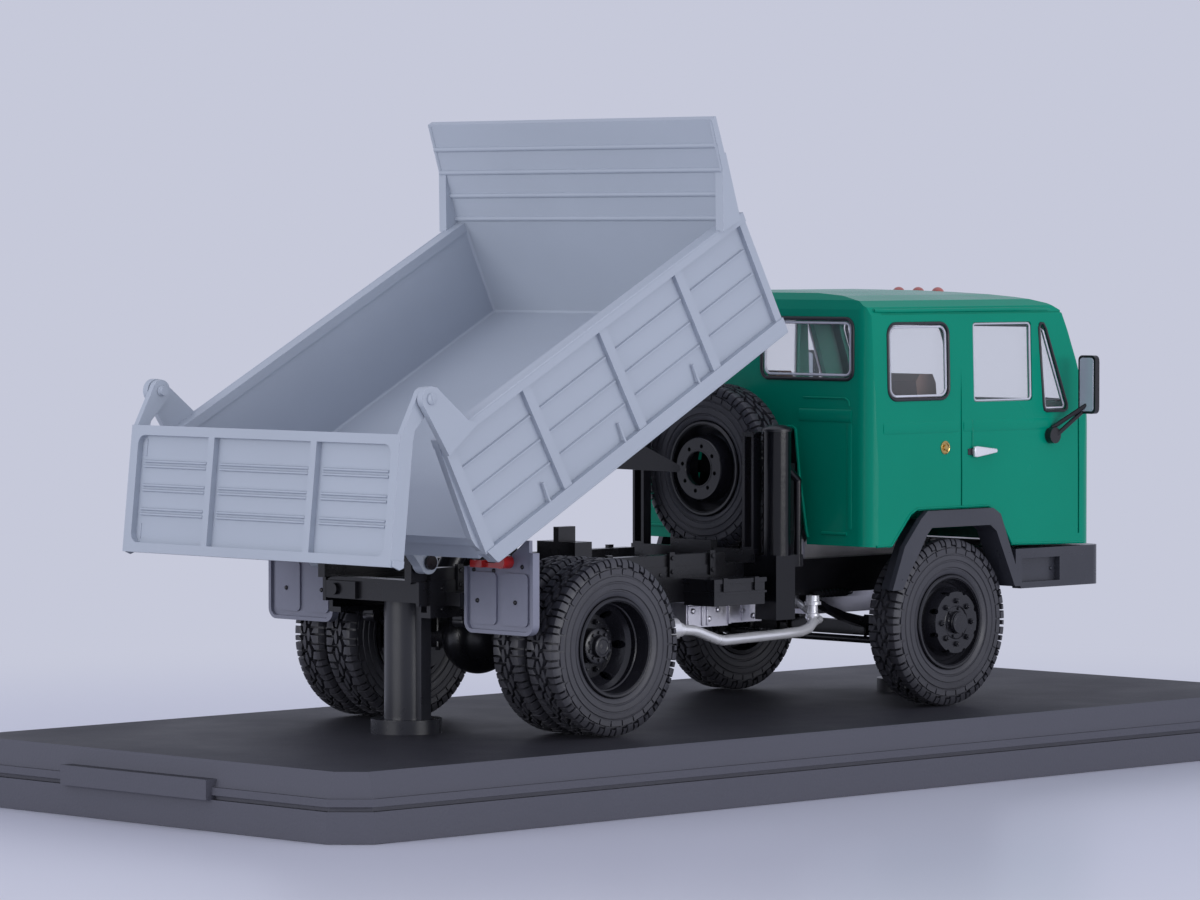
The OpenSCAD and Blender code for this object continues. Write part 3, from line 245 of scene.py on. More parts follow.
# ------------------------------------------------------------------ mesh kit
class Shape:
    """Collects faces in mm, in the truck's axes after the matrix m."""

    def __init__(self, m=I4):
        self.m = m
        self.v = []
        self.f = []

    def add(self, verts, faces, m=I4):
        k = len(self.v)
        mm = self.m @ m
        self.v += [mm @ Vector(p) for p in verts]
        self.f += [tuple(i + k for i in f) for f in faces]

    def prism(self, pts, d0, d1, plane="xz", m=I4):
        """polygon in a plane, pulled along the third axis"""
        n = len(pts)

        def p(a, b, d):
            if plane == "xz":
                return (a, d, b)
            if plane == "yz":
                return (d, a, b)
            return (a, b, d)
        vs = [p(a, b, d0) for a, b in pts] + [p(a, b, d1) for a, b in pts]
        fs = [tuple(range(n)), tuple(range(2 * n - 1, n - 1, -1))]
        fs += [(i, i + n, (i + 1) % n + n, (i + 1) % n) for i in range(n)]
        self.add(vs, fs, m)

    def box(self, x0, x1, y0, y1, z0, z1, m=I4):
        self.prism([(x0, z0), (x1, z0), (x1, z1), (x0, z1)], y0, y1, "xz", m)

    def tube(self, path, r, n=8, closed=False, flat=1.0, up=None, m=I4):
        """round or flattened section along a path"""
        P = [Vector(p) for p in path]
        k = len(P)
        vs, fs = [], []
        u_prev = None
        for i in range(k):
            if closed:
                t = (P[(i + 1) % k] - P[(i - 1) % k]).normalized()
            else:
                t = (P[min(i + 1, k - 1)] - P[max(i - 1, 0)]).normalized()
            ref = Vector(up) if up is not None else (u_prev if u_prev is not None else
                                                     (Vector((0, 0, 1)) if abs(t.z) < 0.9 else Vector((1, 0, 0))))
            w = t.cross(ref).normalized()
            u = w.cross(t).normalized()
            u_prev = u
            for j in range(n):
                a = 2 * math.pi * j / n
                vs.append(tuple(P[i] + w * (r * math.cos(a)) + u * (r * flat * math.sin(a))))
        last = k if closed else k - 1
        for i in range(last):
            a, b = i * n, ((i + 1) % k) * n
            for j in range(n):
                fs.append((a + j, a + (j + 1) % n, b + (j + 1) % n, b + j))
        if not closed:
            fs.append(tuple(range(n - 1, -1, -1)))
            fs.append(tuple((k - 1) * n + j for j in range(n)))
        self.add(vs, fs, m)

    def lathe(self, prof, n=32, m=I4, closed=False):
        """profile (r, z) turned about local z; ends on the axis or closed as a ring"""
        vs, fs = [], []
        k = len(prof)
        for i in range(n):
            a = 2 * math.pi * i / n
            for r, z in prof:
                vs.append((r * math.cos(a), r * math.sin(a), z))
        for i in range(n):
            b = ((i + 1) % n) * k
            a = i * k
            for j in range(k if closed else k - 1):
                j2 = (j + 1) % k
                q = [a + j, b + j, b + j2, a + j2]
                fs.append(tuple(q))
        self.add(vs, fs, m)

    def hexnut(self, m, r, h, n=6):
        vs = []
        for z, rr in ((0, r), (h * 0.72, r), (h, r * 0.8)):
            for j in range(n):
                a = 2 * math.pi * (j + 0.5) / n
                vs.append((rr * math.cos(a), rr * math.sin(a), z))
        fs = [tuple(range(n - 1, -1, -1)), tuple(2 * n + j for j in range(n))]
        for s in (0, 1):
            for j in range(n):
                fs.append((s * n + j, s * n + (j + 1) % n, (s + 1) * n + (j + 1) % n, (s + 1) * n + j))
        self.add(vs, fs, m)

    def button(self, m, r, h, n=12):
        """domed rivet head standing on local z = 0"""
        prof = [(r, 0), (r * 0.96, h * 0.45), (r * 0.7, h * 0.85), (0.0001, h)]
        self.lathe(prof, n, m)

    def make(self, name, mat, body=ROOT, bevel=0.0, smooth=40, segments=2):
        me = bpy.data.meshes.new(name)
        me.from_pydata([((p[0] - OX) / 1000, p[1] / 1000, (p[2] + OZ) / 1000) for p in self.v], [], self.f)
        bm = bmesh.new()
        bm.from_mesh(me)
        bmesh.ops.remove_doubles(bm, verts=bm.verts, dist=2e-7)
        bmesh.ops.recalc_face_normals(bm, faces=bm.faces)
        lim = math.radians(smooth)
        for f in bm.faces:
            f.smooth = True
        for ed in bm.edges:
            ed.smooth = len(ed.link_faces) == 2 and ed.calc_face_angle(0.0) < lim
        bm.to_mesh(me)
        bm.free()
        me.update()
        o = bpy.data.objects.new(name, me)
        bpy.context.scene.collection.objects.link(o)
        me.materials.append(M[mat])
        if bevel:
            md = o.modifiers.new("soft_edges", "BEVEL")
            md.width = bevel / 1000
            md.segments = segments
            md.limit_method = "ANGLE"
            md.angle_limit = math.radians(38)
            md.use_clamp_overlap = True
        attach(o, body)
        return o


def rounded(x0, x1, z0, z1, r, n=6):
    pts = []
    for cx, cz, a0 in ((x1 - r, z1 - r, 0), (x0 + r, z1 - r, 90), (x0 + r, z0 + r, 180), (x1 - r, z0 + r, 270)):
        for i in range(n + 1):
            a = math.radians(a0 + 90 * i / n)
            pts.append((cx + r * math.cos(a), cz + r * math.sin(a)))
    return pts


def cab_y(z):
    """half width of the cab skin at height z"""
    k = [(0, 23.6), (33, 23.6), (44, 23.45), (55.4, 23.15), (56.6, 22.65), (57.5, 21.3), (58.2, 17.6)]
    for (a, p), (b, q) in zip(k, k[1:]):
        if a <= z <= b:
            return p + (q - p) * (z - a) / (b - a)
    return 17.0


def cab_fx(z):
    """front skin at height z"""
    f = CAB_FRONT
    k = [(22, f - 0.9), (24.5, f - 0.5), (29.5, f - 0.05), (33, f), (38.5, f - 0.7), (43.6, f - 2.1), (48.6, f - 3.8), (53.0, f - 5.6),
         (55.9, f - 7.0), (56.9, f - 9.0)]
    for (a, p), (b, q) in zip(k, k[1:]):
        if a <= z <= b:
            return p + (q - p) * (z - a) / (b - a)
    return f - 9


# ------------------------------------------------------------------ tyres
def add_tyre(s, m):
    w = TYRE_W
    half = [(6.7, -0.55), (6.85, -0.30), (7.2, -0.14), (7.45, -0.10), (7.55, -0.20), (7.70, -0.20), (7.80, -0.04), (8.5, -0.005),
            (8.60, -0.12), (8.75, -0.12), (8.85, -0.02), (9.45, -0.03), (9.55, -0.17), (9.75, -0.19), (10.7, -0.30), (10.85, -0.48),
            (10.95, -0.80), (10.98, -1.6), (11.0, -2.74)]
    prof = half + [(r, -w - z) for r, z in reversed(half)]
    prof += [(6.62, -w + 1.0), (6.62, -1.0)]
    s.lathe(prof, 96, m, closed=True)
    n = 32
    pitch = 2 * math.pi / n

    def block(a0, a1, sec0, sec1, steps=2):
        """solid swept over an angle from section sec0 to sec1, each a ring of (r, z)"""
        k = len(sec0)
        vs, fs = [], []
        for i in range(steps + 1):
            t = i / steps
            a = a0 + (a1 - a0) * t
            for (r0, z0), (r1, z1) in zip(sec0, sec1):
                r, z = r0 + (r1 - r0) * t, z0 + (z1 - z0) * t
                vs.append((r * math.cos(a), r * math.sin(a), z))
        for i in range(steps):
            for j in range(k):
                fs.append((i * k + j, (i + 1) * k + j, (i + 1) * k + (j + 1) % k, i * k + (j + 1) % k))
        fs.append(tuple(range(k)))
        fs.append(tuple(steps * k + j for j in range(k - 1, -1, -1)))
        s.add(vs, fs, m)

    for i in range(n):
        for side in (0, 1):
            a = i * pitch + (0.5 * pitch if side else 0)

            def zz(z):
                return z if side == 0 else -w - z

            def sec(inner, lo_r=10.62):
                pts = [(10.9, inner), (11.80, inner + 0.06), (11.84, inner + 0.16), (11.84, -0.78), (11.74, -0.42), (11.30, -0.12),
                       (lo_r, -0.02), (lo_r - 0.06, -0.26), (11.0, -0.9)]
                return [(r, zz(z)) for r, z in pts]
            # long and short shoulder lugs by turns
            if i % 2 == 0:
                block(a, a + 0.46 * pitch, sec(-1.95), sec(-1.55))
                block(a + 0.60 * pitch, a + 0.88 * pitch, sec(-1.35, 10.95), sec(-1.75, 10.95), 1)
            else:
                block(a, a + 0.45 * pitch, sec(-1.55), sec(-2.0))
                block(a + 0.59 * pitch, a + 0.87 * pitch, sec(-1.75, 10.95), sec(-1.30, 10.95), 1)

            # middle blocks, staggered either side of the centre line
            def mid(z0, z1):
                pts = [(10.9, z0), (11.82, z0 - 0.05), (11.82, z1 + 0.05), (10.9, z1)]
                return [(r, zz(z)) for r, z in pts]
            block(a + 0.10 * pitch, a + 0.50 * pitch, mid(-2.15, -2.55), mid(-1.95, -2.72), 1)
            block(a + 0.50 * pitch, a + 0.86 * pitch, mid(-1.95, -2.72), mid(-2.2, -2.5), 1)
    # sidewall ring of pads
    k = 30
    for side in (0, 1):
        for i in range(k):
            a0 = (i + 0.06) * 2 * math.pi / k
            a1 = (i + 0.94) * 2 * math.pi / k

            def zz(z):
                return z if side == 0 else -w - z
            q = [(9.72, zz(-0.30)), (9.76, zz(-0.07)), (10.46, zz(-0.06)), (10.52, zz(-0.32))]
            block(a0, a1, q, q, 3)


def tyre_piece(name, mats, body, nodes):
    s = Shape()
    for m in mats:
        add_tyre(s, m)
    o = s.make(name, "tyre", body, smooth=28)
    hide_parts(*nodes)
    return o


tyre_piece("tread_front_right", [on_right(WB, FRONT_HALF)], "wheel_front_right", ["tyre_front_right"])
tyre_piece("tread_front_left", [on_left(WB, FRONT_HALF) @ R(7, "Z")], "wheel_front_left", ["tyre_front_left"])
tyre_piece("tread_rear_right", [on_right(0, REAR_HALF), on_right(0, REAR_HALF) @ T(0, 0, -TYRE_W - GAP) @ R(5, "Z")],
           "wheels_rear_right", ["tyres_rear_right"])
tyre_piece("tread_rear_left", [on_left(0, REAR_HALF), on_left(0, REAR_HALF) @ T(0, 0, -TYRE_W - GAP) @ R(5, "Z")],
           "wheels_rear_left", ["tyres_rear_left"])
tyre_piece("tread_spare", [SPARE @ R(3, "Z")], ROOT, ["tyre_spare"])


# ------------------------------------------------------------------ wheel hardware
def ring_of(s, base, n, radius, z, r, h, phase=0.0):
    for i in range(n):
        s.hexnut(base @ R(360 * i / n + phase, "Z") @ T(radius, 0, z), r, h)


def hub_front(name, base, body):
    s = Shape()
    ring_of(s, base, 8, 3.05, 0.88, 0.42, 0.42, 0)
    for i in range(8):
        s.button(base @ R(45 * i, "Z") @ T(3.05, 0, 1.28), 0.22, 0.25, 10)
    ring_of(s, base, 6, 1.98, 0.78, 0.24, 0.28, 15)
    s.lathe([(1.52, 1.2), (1.56, 1.42), (1.46, 1.62), (1.30, 1.72), (1.05, 1.76), (0.95, 1.66), (0.45, 1.68), (0.0001, 1.82)], 40, base)
    s.lathe([(2.46, 0.62), (2.52, 0.80), (2.30, 0.90), (2.22, 0.82), (1.62, 0.84), (1.55, 1.0)], 40, base)
    s.lathe([(6.16, -0.25), (6.30, -0.05), (6.58, -0.02), (6.70, -0.18), (6.60, -0.30), (6.25, -0.34)], 72, base, closed=True)
    s.lathe([(4.86, -1.28), (4.98, -1.18), (5.45, -1.56), (5.42, -1.70)], 64, base)
    s.make(name, "rim", body, smooth=35)


def hub_rear(name, base, body):
    s = Shape()
    ring_of(s, base, 10, 3.3, -5.27, 0.40, 0.55, 0)
    for i in range(10):
        s.button(base @ R(36 * i, "Z") @ T(3.3, 0, -4.75), 0.2, 0.35, 10)
    ring_of(s, base, 10, 1.86, -3.52, 0.26, 0.34, 18)
    s.lathe([(2.36, -3.7), (2.42, -3.52), (2.25, -3.42), (1.55, -3.44), (1.42, -3.30), (1.38, -2.95), (1.28, -2.78), (1.0, -2.7),
             (0.85, -2.78), (0.4, -2.76), (0.0001, -2.62)], 40, base)
    s.lathe([(6.16, -0.25), (6.30, -0.05), (6.58, -0.02), (6.70, -0.18), (6.60, -0.30), (6.25, -0.34)], 72, base, closed=True)
    s.lathe([(5.9, -2.2), (5.72, -2.3), (5.72, -2.45), (5.86, -2.55)], 64, base)
    s.make(name, "rim", body, smooth=35)


hub_front("hub_front_right", on_right(WB, FRONT_HALF), "wheel_front_right")
hub_front("hub_front_left", on_left(WB, FRONT_HALF), "wheel_front_left")
hub_rear("hub_rear_right", on_right(0, REAR_HALF), "wheels_rear_right")
hub_rear("hub_rear_left", on_left(0, REAR_HALF), "wheels_rear_left")
s = Shape()
s.lathe([(6.16, -0.25), (6.30, -0.05), (6.58, -0.02), (6.70, -0.18), (6.60, -0.30), (6.25, -0.34)], 72, SPARE, closed=True)
s.lathe([(2.44, 0.84), (2.50, 0.96), (2.62, 0.97), (2.66, 0.88)], 48, SPARE)
s.lathe([(4.22, 0.88), (4.34, 0.93), (4.42, 0.78)], 48, SPARE)
s.make("spare_rim_edges", "rim", ROOT, smooth=35)

# ------------------------------------------------------------------ cab
for side, sg in (("right", -1), ("left", 1)):
    # window seals, and pane-edge strips whose pale colour is a painted highlight
    s = Shape()
    p = rounded(CAB_REAR + 4.1, CAB_REAR + 16.7, 43.6, 54.3, 1.6, 6)
    s.tube([(x, sg * (cab_y(z) + 0.02), z) for x, z in p], 0.22, 8, closed=True)
    v = CAB_REAR + 35.6
    vent = [(v + 1.0, 54.05), (v + 0.66, 53.4), (v + 1.45, 42.3), (v + 1.65, 41.6), (v + 2.1, 41.4), (v + 6.0, 41.4), (v + 6.5, 41.7),
            (v + 6.5, 42.3), (v + 2.1, 53.3), (v + 1.6, 54.0)]
    s.tube([(x, sg * (cab_y(z) + 0.02), z) for x, z in vent], 0.21, 8, closed=True)
    s.make("window_seals_" + side, "seal", ROOT, smooth=60)
    # painted highlight: pale strips along the side pane edges
    s = Shape()
    p = rounded(CAB_REAR + 4.6, CAB_REAR + 16.2, 44.1, 53.8, 1.2, 6)
    s.tube([(x, sg * (cab_y(z) - 0.12), z) for x, z in p], 0.19, 6, closed=True)
    p = rounded(CAB_REAR + 22.2, CAB_REAR + 34.4, 43.2, 54.1, 0.5, 4)
    s.tube([(x, sg * (cab_y(z) - 0.22), z) for x, z in p], 0.17, 6, closed=True)
    vin = [(v + 1.1, 53.3), (v + 1.05, 52.8), (v + 1.85, 42.3), (v + 2.1, 41.85), (v + 5.7, 41.85), (v + 6.0, 42.2), (v + 1.7, 53.0)]
    s.tube([(x, sg * (cab_y(z) - 0.15), z) for x, z in vin], 0.14, 6, closed=True)
    s.make("pane_edge_highlights_" + side, "painted_pane_glint", ROOT, smooth=60)
    # door handle on its plate
    s = Shape()
    y = cab_y(36) + 0.02
    h = Shape()
    s.prism([(72.95, 35.25), (73.6, 35.2), (77.7, 35.75), (77.85, 36.0), (77.7, 36.3), (73.6, 36.75), (72.95, 36.7)],
            sg * (y + 0.30), sg * (y + 0.72), "xz")
    s.prism([(73.1, 35.55), (74.1, 35.5), (74.1, 36.4), (73.1, 36.4)], sg * (y - 0.1), sg * (y + 0.4), "xz")
    s.prism([(76.6, 35.8), (77.2, 35.85), (77.2, 36.2), (76.6, 36.2)], sg * (y - 0.1), sg * (y + 0.4), "xz")
    s.make("door_handle_" + side, "handle", ROOT, bevel=0.1)
    # painted shade: a thin black plate stands in for the shade in the recess at the back of the handle
    s = Shape()
    s.prism([(72.2, 35.55), (73.3, 35.45), (73.3, 36.5), (72.2, 36.4)], sg * (y - 0.12), sg * (y + 0.10), "xz")
    s.make("door_handle_painted_shade_" + side, "seal", ROOT, bevel=0.06)
    # filler or lock fitting behind the door
    s = Shape()
    m = T(67.4, sg * (cab_y(36.7) - 0.05), 36.7) @ R(-90 * sg, "X")
    s.lathe([(0.95, 0), (0.95, 0.16), (0.80, 0.26), (0.66, 0.22), (0.62, 0.12), (0.45, 0.12), (0.42, 0.34), (0.30, 0.44), (0.0001, 0.46)], 28, m)
    s.box(-0.62, 0.62, -0.11, 0.11, 0.2, 0.42, m)
    s.make("lock_fitting_" + side, "brass", ROOT, smooth=35)
    # gutter, shoulder crease and lips of the body side
    s = Shape()
    s.tube([(CAB_REAR + 1.6, sg * 22.9, 56.15), (CAB_REAR + 4, sg * 23.02, 56.1), (CAB_REAR + 30, sg * 23.02, 56.1), (CAB_REAR + 38, sg * 22.9, 56.02),
            (CAB_REAR + 41.2, sg * 22.2, 55.7), (CAB_REAR + 42.2, sg * 20.4, 55.6)], 0.27, 8)
    for x0, x1 in ((3.0, 18.7), (19.8, 43.6)):
        s.tube([(CAB_REAR + x0, sg * (cab_y(39.6) - 0.04), 39.6), (CAB_REAR + x0 + 0.6, sg * (cab_y(39.6) - 0.02), 39.6),
                (CAB_REAR + x1 - 0.6, sg * (cab_y(39.6) - 0.02), 39.6), (CAB_REAR + x1, sg * (cab_y(39.6) - 0.04), 39.6)], 0.85, 14, flat=0.14,
               up=(0, 1, 0))
    s.tube([(CAB_REAR + 21.6, sg * (CAB_HALF - 0.10), 40.4), (CAB_REAR + 21.6, sg * (CAB_HALF - 0.02), 36.5)], 0.14, 8)
    # folded edge over the wheel opening
    w = WB
    edge = [(CAB_REAR + 1.5, 23.05), (w - 13.1, 23.05), (w - 9.2, 27.35), (w - 7.8, 28.05), (w + 7.2, 28.05), (w + 9.2, 27.05), (w + 12.3, 22.45),
            (CAB_FRONT - 2.4, 22.05)]
    s.tube([(x, sg * (CAB_HALF - 0.02), z + 0.18) for x, z in edge], 0.2, 6)
    s.make("cab_body_lines_" + side, "cab_paint", ROOT, smooth=60)
    # mirror glass, its pale colour a painted reflection
    s = Shape()
    yc = sg * 27.6
    s.prism([(a + yc, b) for a, b in rounded(-1.28, 1.28, 41.35, 49.05, 0.5, 5)], 93.22, 93.34, "yz")
    s.make("mirror_glass_" + side, "mirror_glass", ROOT, bevel=0.04)
# rear wall pressings
s = Shape()
x = CAB_REAR - 0.02
for sg in (-1, 1):
    s.tube([(x, sg * 11.0, 43.9), (x, sg * 19.0, 43.9), (x, sg * 19.7, 43.5), (x, sg * 19.8, 42.8)], 0.14, 8)
    s.tube([(x, sg * 10.2, 41.4), (x, sg * 20.2, 41.4)], 0.9, 14, flat=0.16, up=(1, 0, 0))
    s.tube([(x, sg * 19.8, 40.4), (x, sg * 19.8, 25.6)], 0.5, 12, flat=0.16, up=(1, 0, 0))
    s.tube([(x, sg * 14.6, 24.9), (x, sg * 19.4, 24.9)], 0.26, 8)
    s.tube([(x, sg * 11.95, 24.2), (x, sg * 11.65, 25.0), (x, sg * 10.3, 32.7), (x, sg * 9.5, 39.4), (x, sg * 9.0, 39.7), (x, 0, 39.7)], 0.24, 6)
    s.tube([(CAB_REAR + 0.5, sg * 2.0, 56.3), (CAB_REAR + 0.5, sg * 20.0, 56.2), (CAB_REAR + 1.2, sg * 22.2, 56.15), (CAB_REAR + 1.7, sg * 22.9, 56.15)], 0.26, 8)
s.make("cab_rear_pressings", "cab_paint", ROOT, smooth=60)
s = Shape()
for sg in (-1, 1):
    p = rounded(2.9, 20.5, 46.5, 55.0, 1.3, 6)
    s.tube([(CAB_REAR - 0.02, sg * a, b) for a, b in p], 0.26, 8, closed=True)
s.make("rear_window_seals", "seal", ROOT, smooth=60)
# painted highlight: pale strips along the rear pane edges
s = Shape()
for sg in (-1, 1):
    p = rounded(3.5, 19.9, 47.1, 54.4, 1.0, 6)
    s.tube([(CAB_REAR + 0.15, sg * a, b) for a, b in p], 0.2, 6, closed=True)
s.make("rear_pane_edge_highlights", "painted_pane_glint", ROOT, smooth=60)

# front of the cab
s = Shape()
for sg in (-1, 1):
    p = rounded(0.8, 20.4, 42.6, 53.6, 1.3, 6)
    s.tube([(cab_fx(b) + 0.02, sg * a, b) for a, b in p], 0.26, 8, closed=True)
s.make("windscreen_seals", "seal", ROOT, smooth=60)
s = Shape()
for sg in (-1, 1):
    y0 = sg * 11.5
    s.tube([(cab_fx(41.6) + 0.25, y0, 41.4), (cab_fx(42.0) + 0.62, y0 - 1.2, 41.9), (cab_fx(42.9) + 0.55, y0 - 6.4, 42.8)], 0.17, 8)
    s.tube([(cab_fx(42.6) + 0.42, y0 - 11.2, 42.6), (cab_fx(43.0) + 0.42, y0 - 1.6, 43.0)], 0.15, 6)
    s.hexnut(T(cab_fx(41.4), y0, 41.4) @ R(90, "Y"), 0.45, 0.5, 10)
s.make("wipers", "black_plastic", ROOT, smooth=50)
s = Shape()
for sg in (-1, 1):
    m = T(CAB_FRONT + 0.1, sg * 17.2, 28.6) @ R(90, "Y")
    s.lathe([(2.62, -0.2), (3.05, 0.0), (3.05, 0.35), (2.85, 0.6), (2.55, 0.62), (2.42, 0.42)], 48, m)
s.make("headlamp_rings", "handle", ROOT, smooth=40)
s = Shape()
for sg in (-1, 1):
    m = T(CAB_FRONT - 0.05, sg * 17.2, 34.4) @ R(90, "Y")
    s.lathe([(1.2, -0.3), (1.2, 0.25), (1.0, 0.6), (0.5, 0.78), (0.0001, 0.82)], 28, m)
s.make("front_indicators", "amber", ROOT, smooth=50)
s = Shape()
for i in range(5):
    z = 26.2 + 1.25 * i
    s.tube([(CAB_FRONT + 0.55, -11.2, z), (CAB_FRONT + 0.55, 11.2, z)], 0.26, 8)
s.tube([(CAB_FRONT + 0.5, a, b) for a, b in rounded(-11.8, 11.8, 25.8, 33.0, 1.1, 6)], 0.3, 8, closed=True)
s.make("grille_bars", "flare", ROOT, smooth=60)
s = Shape()
for y in (-3.85, 0, 3.85):
    s.lathe([(1.0, 0), (1.28, 0), (1.22, 0.5), (1.0, 0.62), (0.93, 0.5)], 28, T(87.7, y, 57.75))
s.make("roof_lamp_bases", "cab_paint", ROOT, smooth=40)

# bumper fittings: blank plate, bolts and towing hooks
s = Shape()
s.prism([(a, b) for a, b in rounded(-6.0, 6.0, 17.4, 20.4, 0.4, 4)], 101.25, 101.55, "yz")
for sg in (-1, 1):
    for y in (9.6, 21.4):
        s.button(T(101.25, sg * y, 19.0) @ R(90, "Y"), 0.5, 0.35, 14)
    s.tube([(101.1, sg * 10.8, 17.2), (102.2, sg * 10.8, 17.2), (102.4, sg * 10.8, 16.7), (102.1, sg * 10.8, 16.3), (101.0, sg * 10.8, 16.2)], 0.3, 8)
    for x in (84.6, 91.0):
        s.button(T(x, sg * 22.8, 18.7) @ R(-90 * sg, "X"), 0.3, 0.25, 10)
s.make("bumper_fittings", "flare", ROOT, smooth=40)

# interior: seat pleats and belt of controls
s = Shape()
for sg in (-1, 1):
    for i in range(6):
        y = sg * (9.2 + 1.85 * i)
        s.tube([(70.6, y, 36.62), (75.0, y, 36.72), (79.6, y, 36.66), (80.6, y, 36.3)], 0.16, 6)
        s.tube([(70.6, y, 37.2), (70.2, y, 41.6), (69.8, y, 45.6)], 0.16, 6)
for i in range(11):
    y = -18.0 + 3.6 * i
    s.tube([(53.9, y, 43.18), (58.1, y, 43.18)], 0.14, 6)
s.make("seat_pleats", "seat", ROOT, smooth=60)
s = Shape()
s.tube([(76.5, 3.0, 34.6), (77.2, 3.2, 37.4), (76.9, 3.4, 40.2)], 0.28, 8)
s.lathe([(0.0001, -0.7), (0.5, -0.5), (0.72, 0), (0.5, 0.5), (0.0001, 0.7)], 16, T(76.9, 3.4, 40.5))
s.tube([(79.0, 6.0, 34.6), (80.6, 6.4, 38.0)], 0.2, 8)
for i in range(3):
    s.lathe([(0.95, -0.05), (0.95, 0.1), (0.8, 0.16), (0.72, 0.06), (0.0001, 0.06)], 24,
            T(91.1 + 0.35 * (i % 2), 10.2 + 2.2 * i, 38.6) @ R(-72, "Y"))
s.make("cab_controls", "black_plastic", ROOT, smooth=45)

# ------------------------------------------------------------------ bed
s = Shape(BED)
bays = [(-0.9, 12.2), (15.3, 27.9), (31.1, 43.9), (47.1, 57.6)]
for sg in (-1, 1):
    y = sg * (BED_IN + 1.0)
    for a, b in bays:
        a, b = a - 0.6, b + 0.6
        for wz in (15.6, 11.95, 8.4):
            lean = 0.035 * (wz - 10)
            s.prism([(y, wz - 0.34), (y + sg * 0.36, wz - 0.20), (y + sg * 0.36, wz + 0.02), (y, wz + 0.12)], a - lean, b - lean, "yz")
    # hooks for a cover rope
    for u in (10.2, 26.0, 41.9):
        s.tube([(u - 0.15, y + sg * 0.75, 4.05), (u, y + sg * 0.5, 4.8), (u + 0.15, y + sg * 0.42, 6.7)], 0.20, 8)
        s.button(T(u + 0.15, y + sg * 0.42, 6.6), 0.24, 0.22, 8)
    # rolled edge of the top rail
    s.tube([(-3.1, sg * (BED_IN + 1.75), BED_TOP - 0.12), (59.6, sg * (BED_IN + 1.75), BED_TOP - 0.52)], 0.2, 8)
    s.tube([(-1.8, sg * (BED_IN + 1.8), 2.0), (59.9, sg * (BED_IN + 1.8), 2.0)], 0.2, 8)
s.make("bed_side_pressings", "bed_paint", "bed", smooth=35, bevel=0.05)
s = Shape(BED)
for wz in (20.95, 24.3, 27.65, 31.0):
    u = 57.0 + (wz - 20.2) * (2.6 / 14.4)
    s.tube([(u + 0.02, -27.6, wz), (u + 0.02, 27.6, wz)], 0.36, 10)
for y in (-27.5, 27.5):
    s.tube([(57.1, y, 20.4), (59.62, y, 34.3)], 0.28, 8)
s.tube([(60.0, -27.7, 34.15), (60.0, 27.7, 34.15)], 0.40, 10)
# front face of the headboard: cross pressings between its posts
for wz in (8.5, 13.5, 18.0):
    for a, b in ((-24.5, -13.2), (-10.6, 10.6), (13.2, 24.5)):
        u = 57.5 + (wz - 1.9) * (0.6 / 18.6) + 0.02
        s.tube([(u, a, wz), (u, b, wz)], 0.24, 8)
s.make("headboard_ribs", "bed_paint", "bed", smooth=60)


def fillet(s, a, b, dy, dz, r, m=I4):
    """concave corner strip from a to b; dy, dz point away from the corner's two walls"""
    n = 6
    vs = []
    for p in (a, b):
        p = Vector(p)
        vs.append(tuple(p))
        for i in range(n + 1):
            t = math.pi / 2 * i / n
            vs.append(tuple(p + Vector(dy) * (r - r * math.sin(t)) + Vector(dz) * (r - r * math.cos(t))))
    k = n + 2
    fs = [tuple(range(k)), tuple(range(2 * k - 1, k - 1, -1))]
    fs += [(i, i + k, (i + 1) % k + k, (i + 1) % k) for i in range(k)]
    s.add(vs, fs, m)


s = Shape(BED)
for sg in (-1, 1):
    fillet(s, (-3.6, sg * (BED_IN + 0.02), BED_FLOOR - 0.02), (56.6, sg * (BED_IN + 0.02), BED_FLOOR - 0.02), (0, -sg, 0), (0, 0, 1), 0.45)
    fillet(s, (56.45, sg * (BED_IN + 0.02), BED_FLOOR), (56.95, sg * (BED_IN + 0.02), BED_TOP - 0.5), (-1, 0, 0), (0, -sg, 0), 0.45)
fillet(s, (56.46, -BED_IN, BED_FLOOR - 0.02), (56.46, BED_IN, BED_FLOOR - 0.02), (-1, 0, 0), (0, 0, 1), 0.45)
s.make("bed_corner_fillets", "bed_paint", "bed", smooth=60)
# hinge pins with cotters at the ears, bolts on the hinge brackets
s = Shape(BED)
for sg in (-1, 1):
    m = T(EAR_U, sg * (BED_IN + 2.38), EAR_W) @ R(-90 * sg, "X")
    s.lathe([(0.78, 0), (0.78, 0.22), (0.62, 0.36), (0.0001, 0.38)], 24, m)
    s.tube([(-0.15, -0.75, 0.30), (-0.1, 0.2, 0.42), (0.1, 0.75, 0.3)], 0.14, 6, m=m)
    s.hexnut(T(0, sg * 11.2, 0) @ R(-90 * sg, "X"), 0.9, 0.18)
s.make("ear_pins", "bed_paint", "bed", smooth=40)
# underside bolts and floor stiffeners of the bed
s = Shape(BED)
for u in (6.0, 20.5, 38.6 + 3.4, 51.0):
    s.box(u, u + 0.7, -BED_IN + 0.4, BED_IN - 0.4, 4.7, 5.42)
for u in (-1.0, 14.0, 32.4, 45.8, 55.3):
    for y in (-14, -20, 14, 20):
        s.button(T(u, y, 3.42) @ R(180, "X"), 0.4, 0.25, 10)
s.make("bed_floor_stiffeners", "bed_paint", "bed", smooth=35, bevel=0.05)

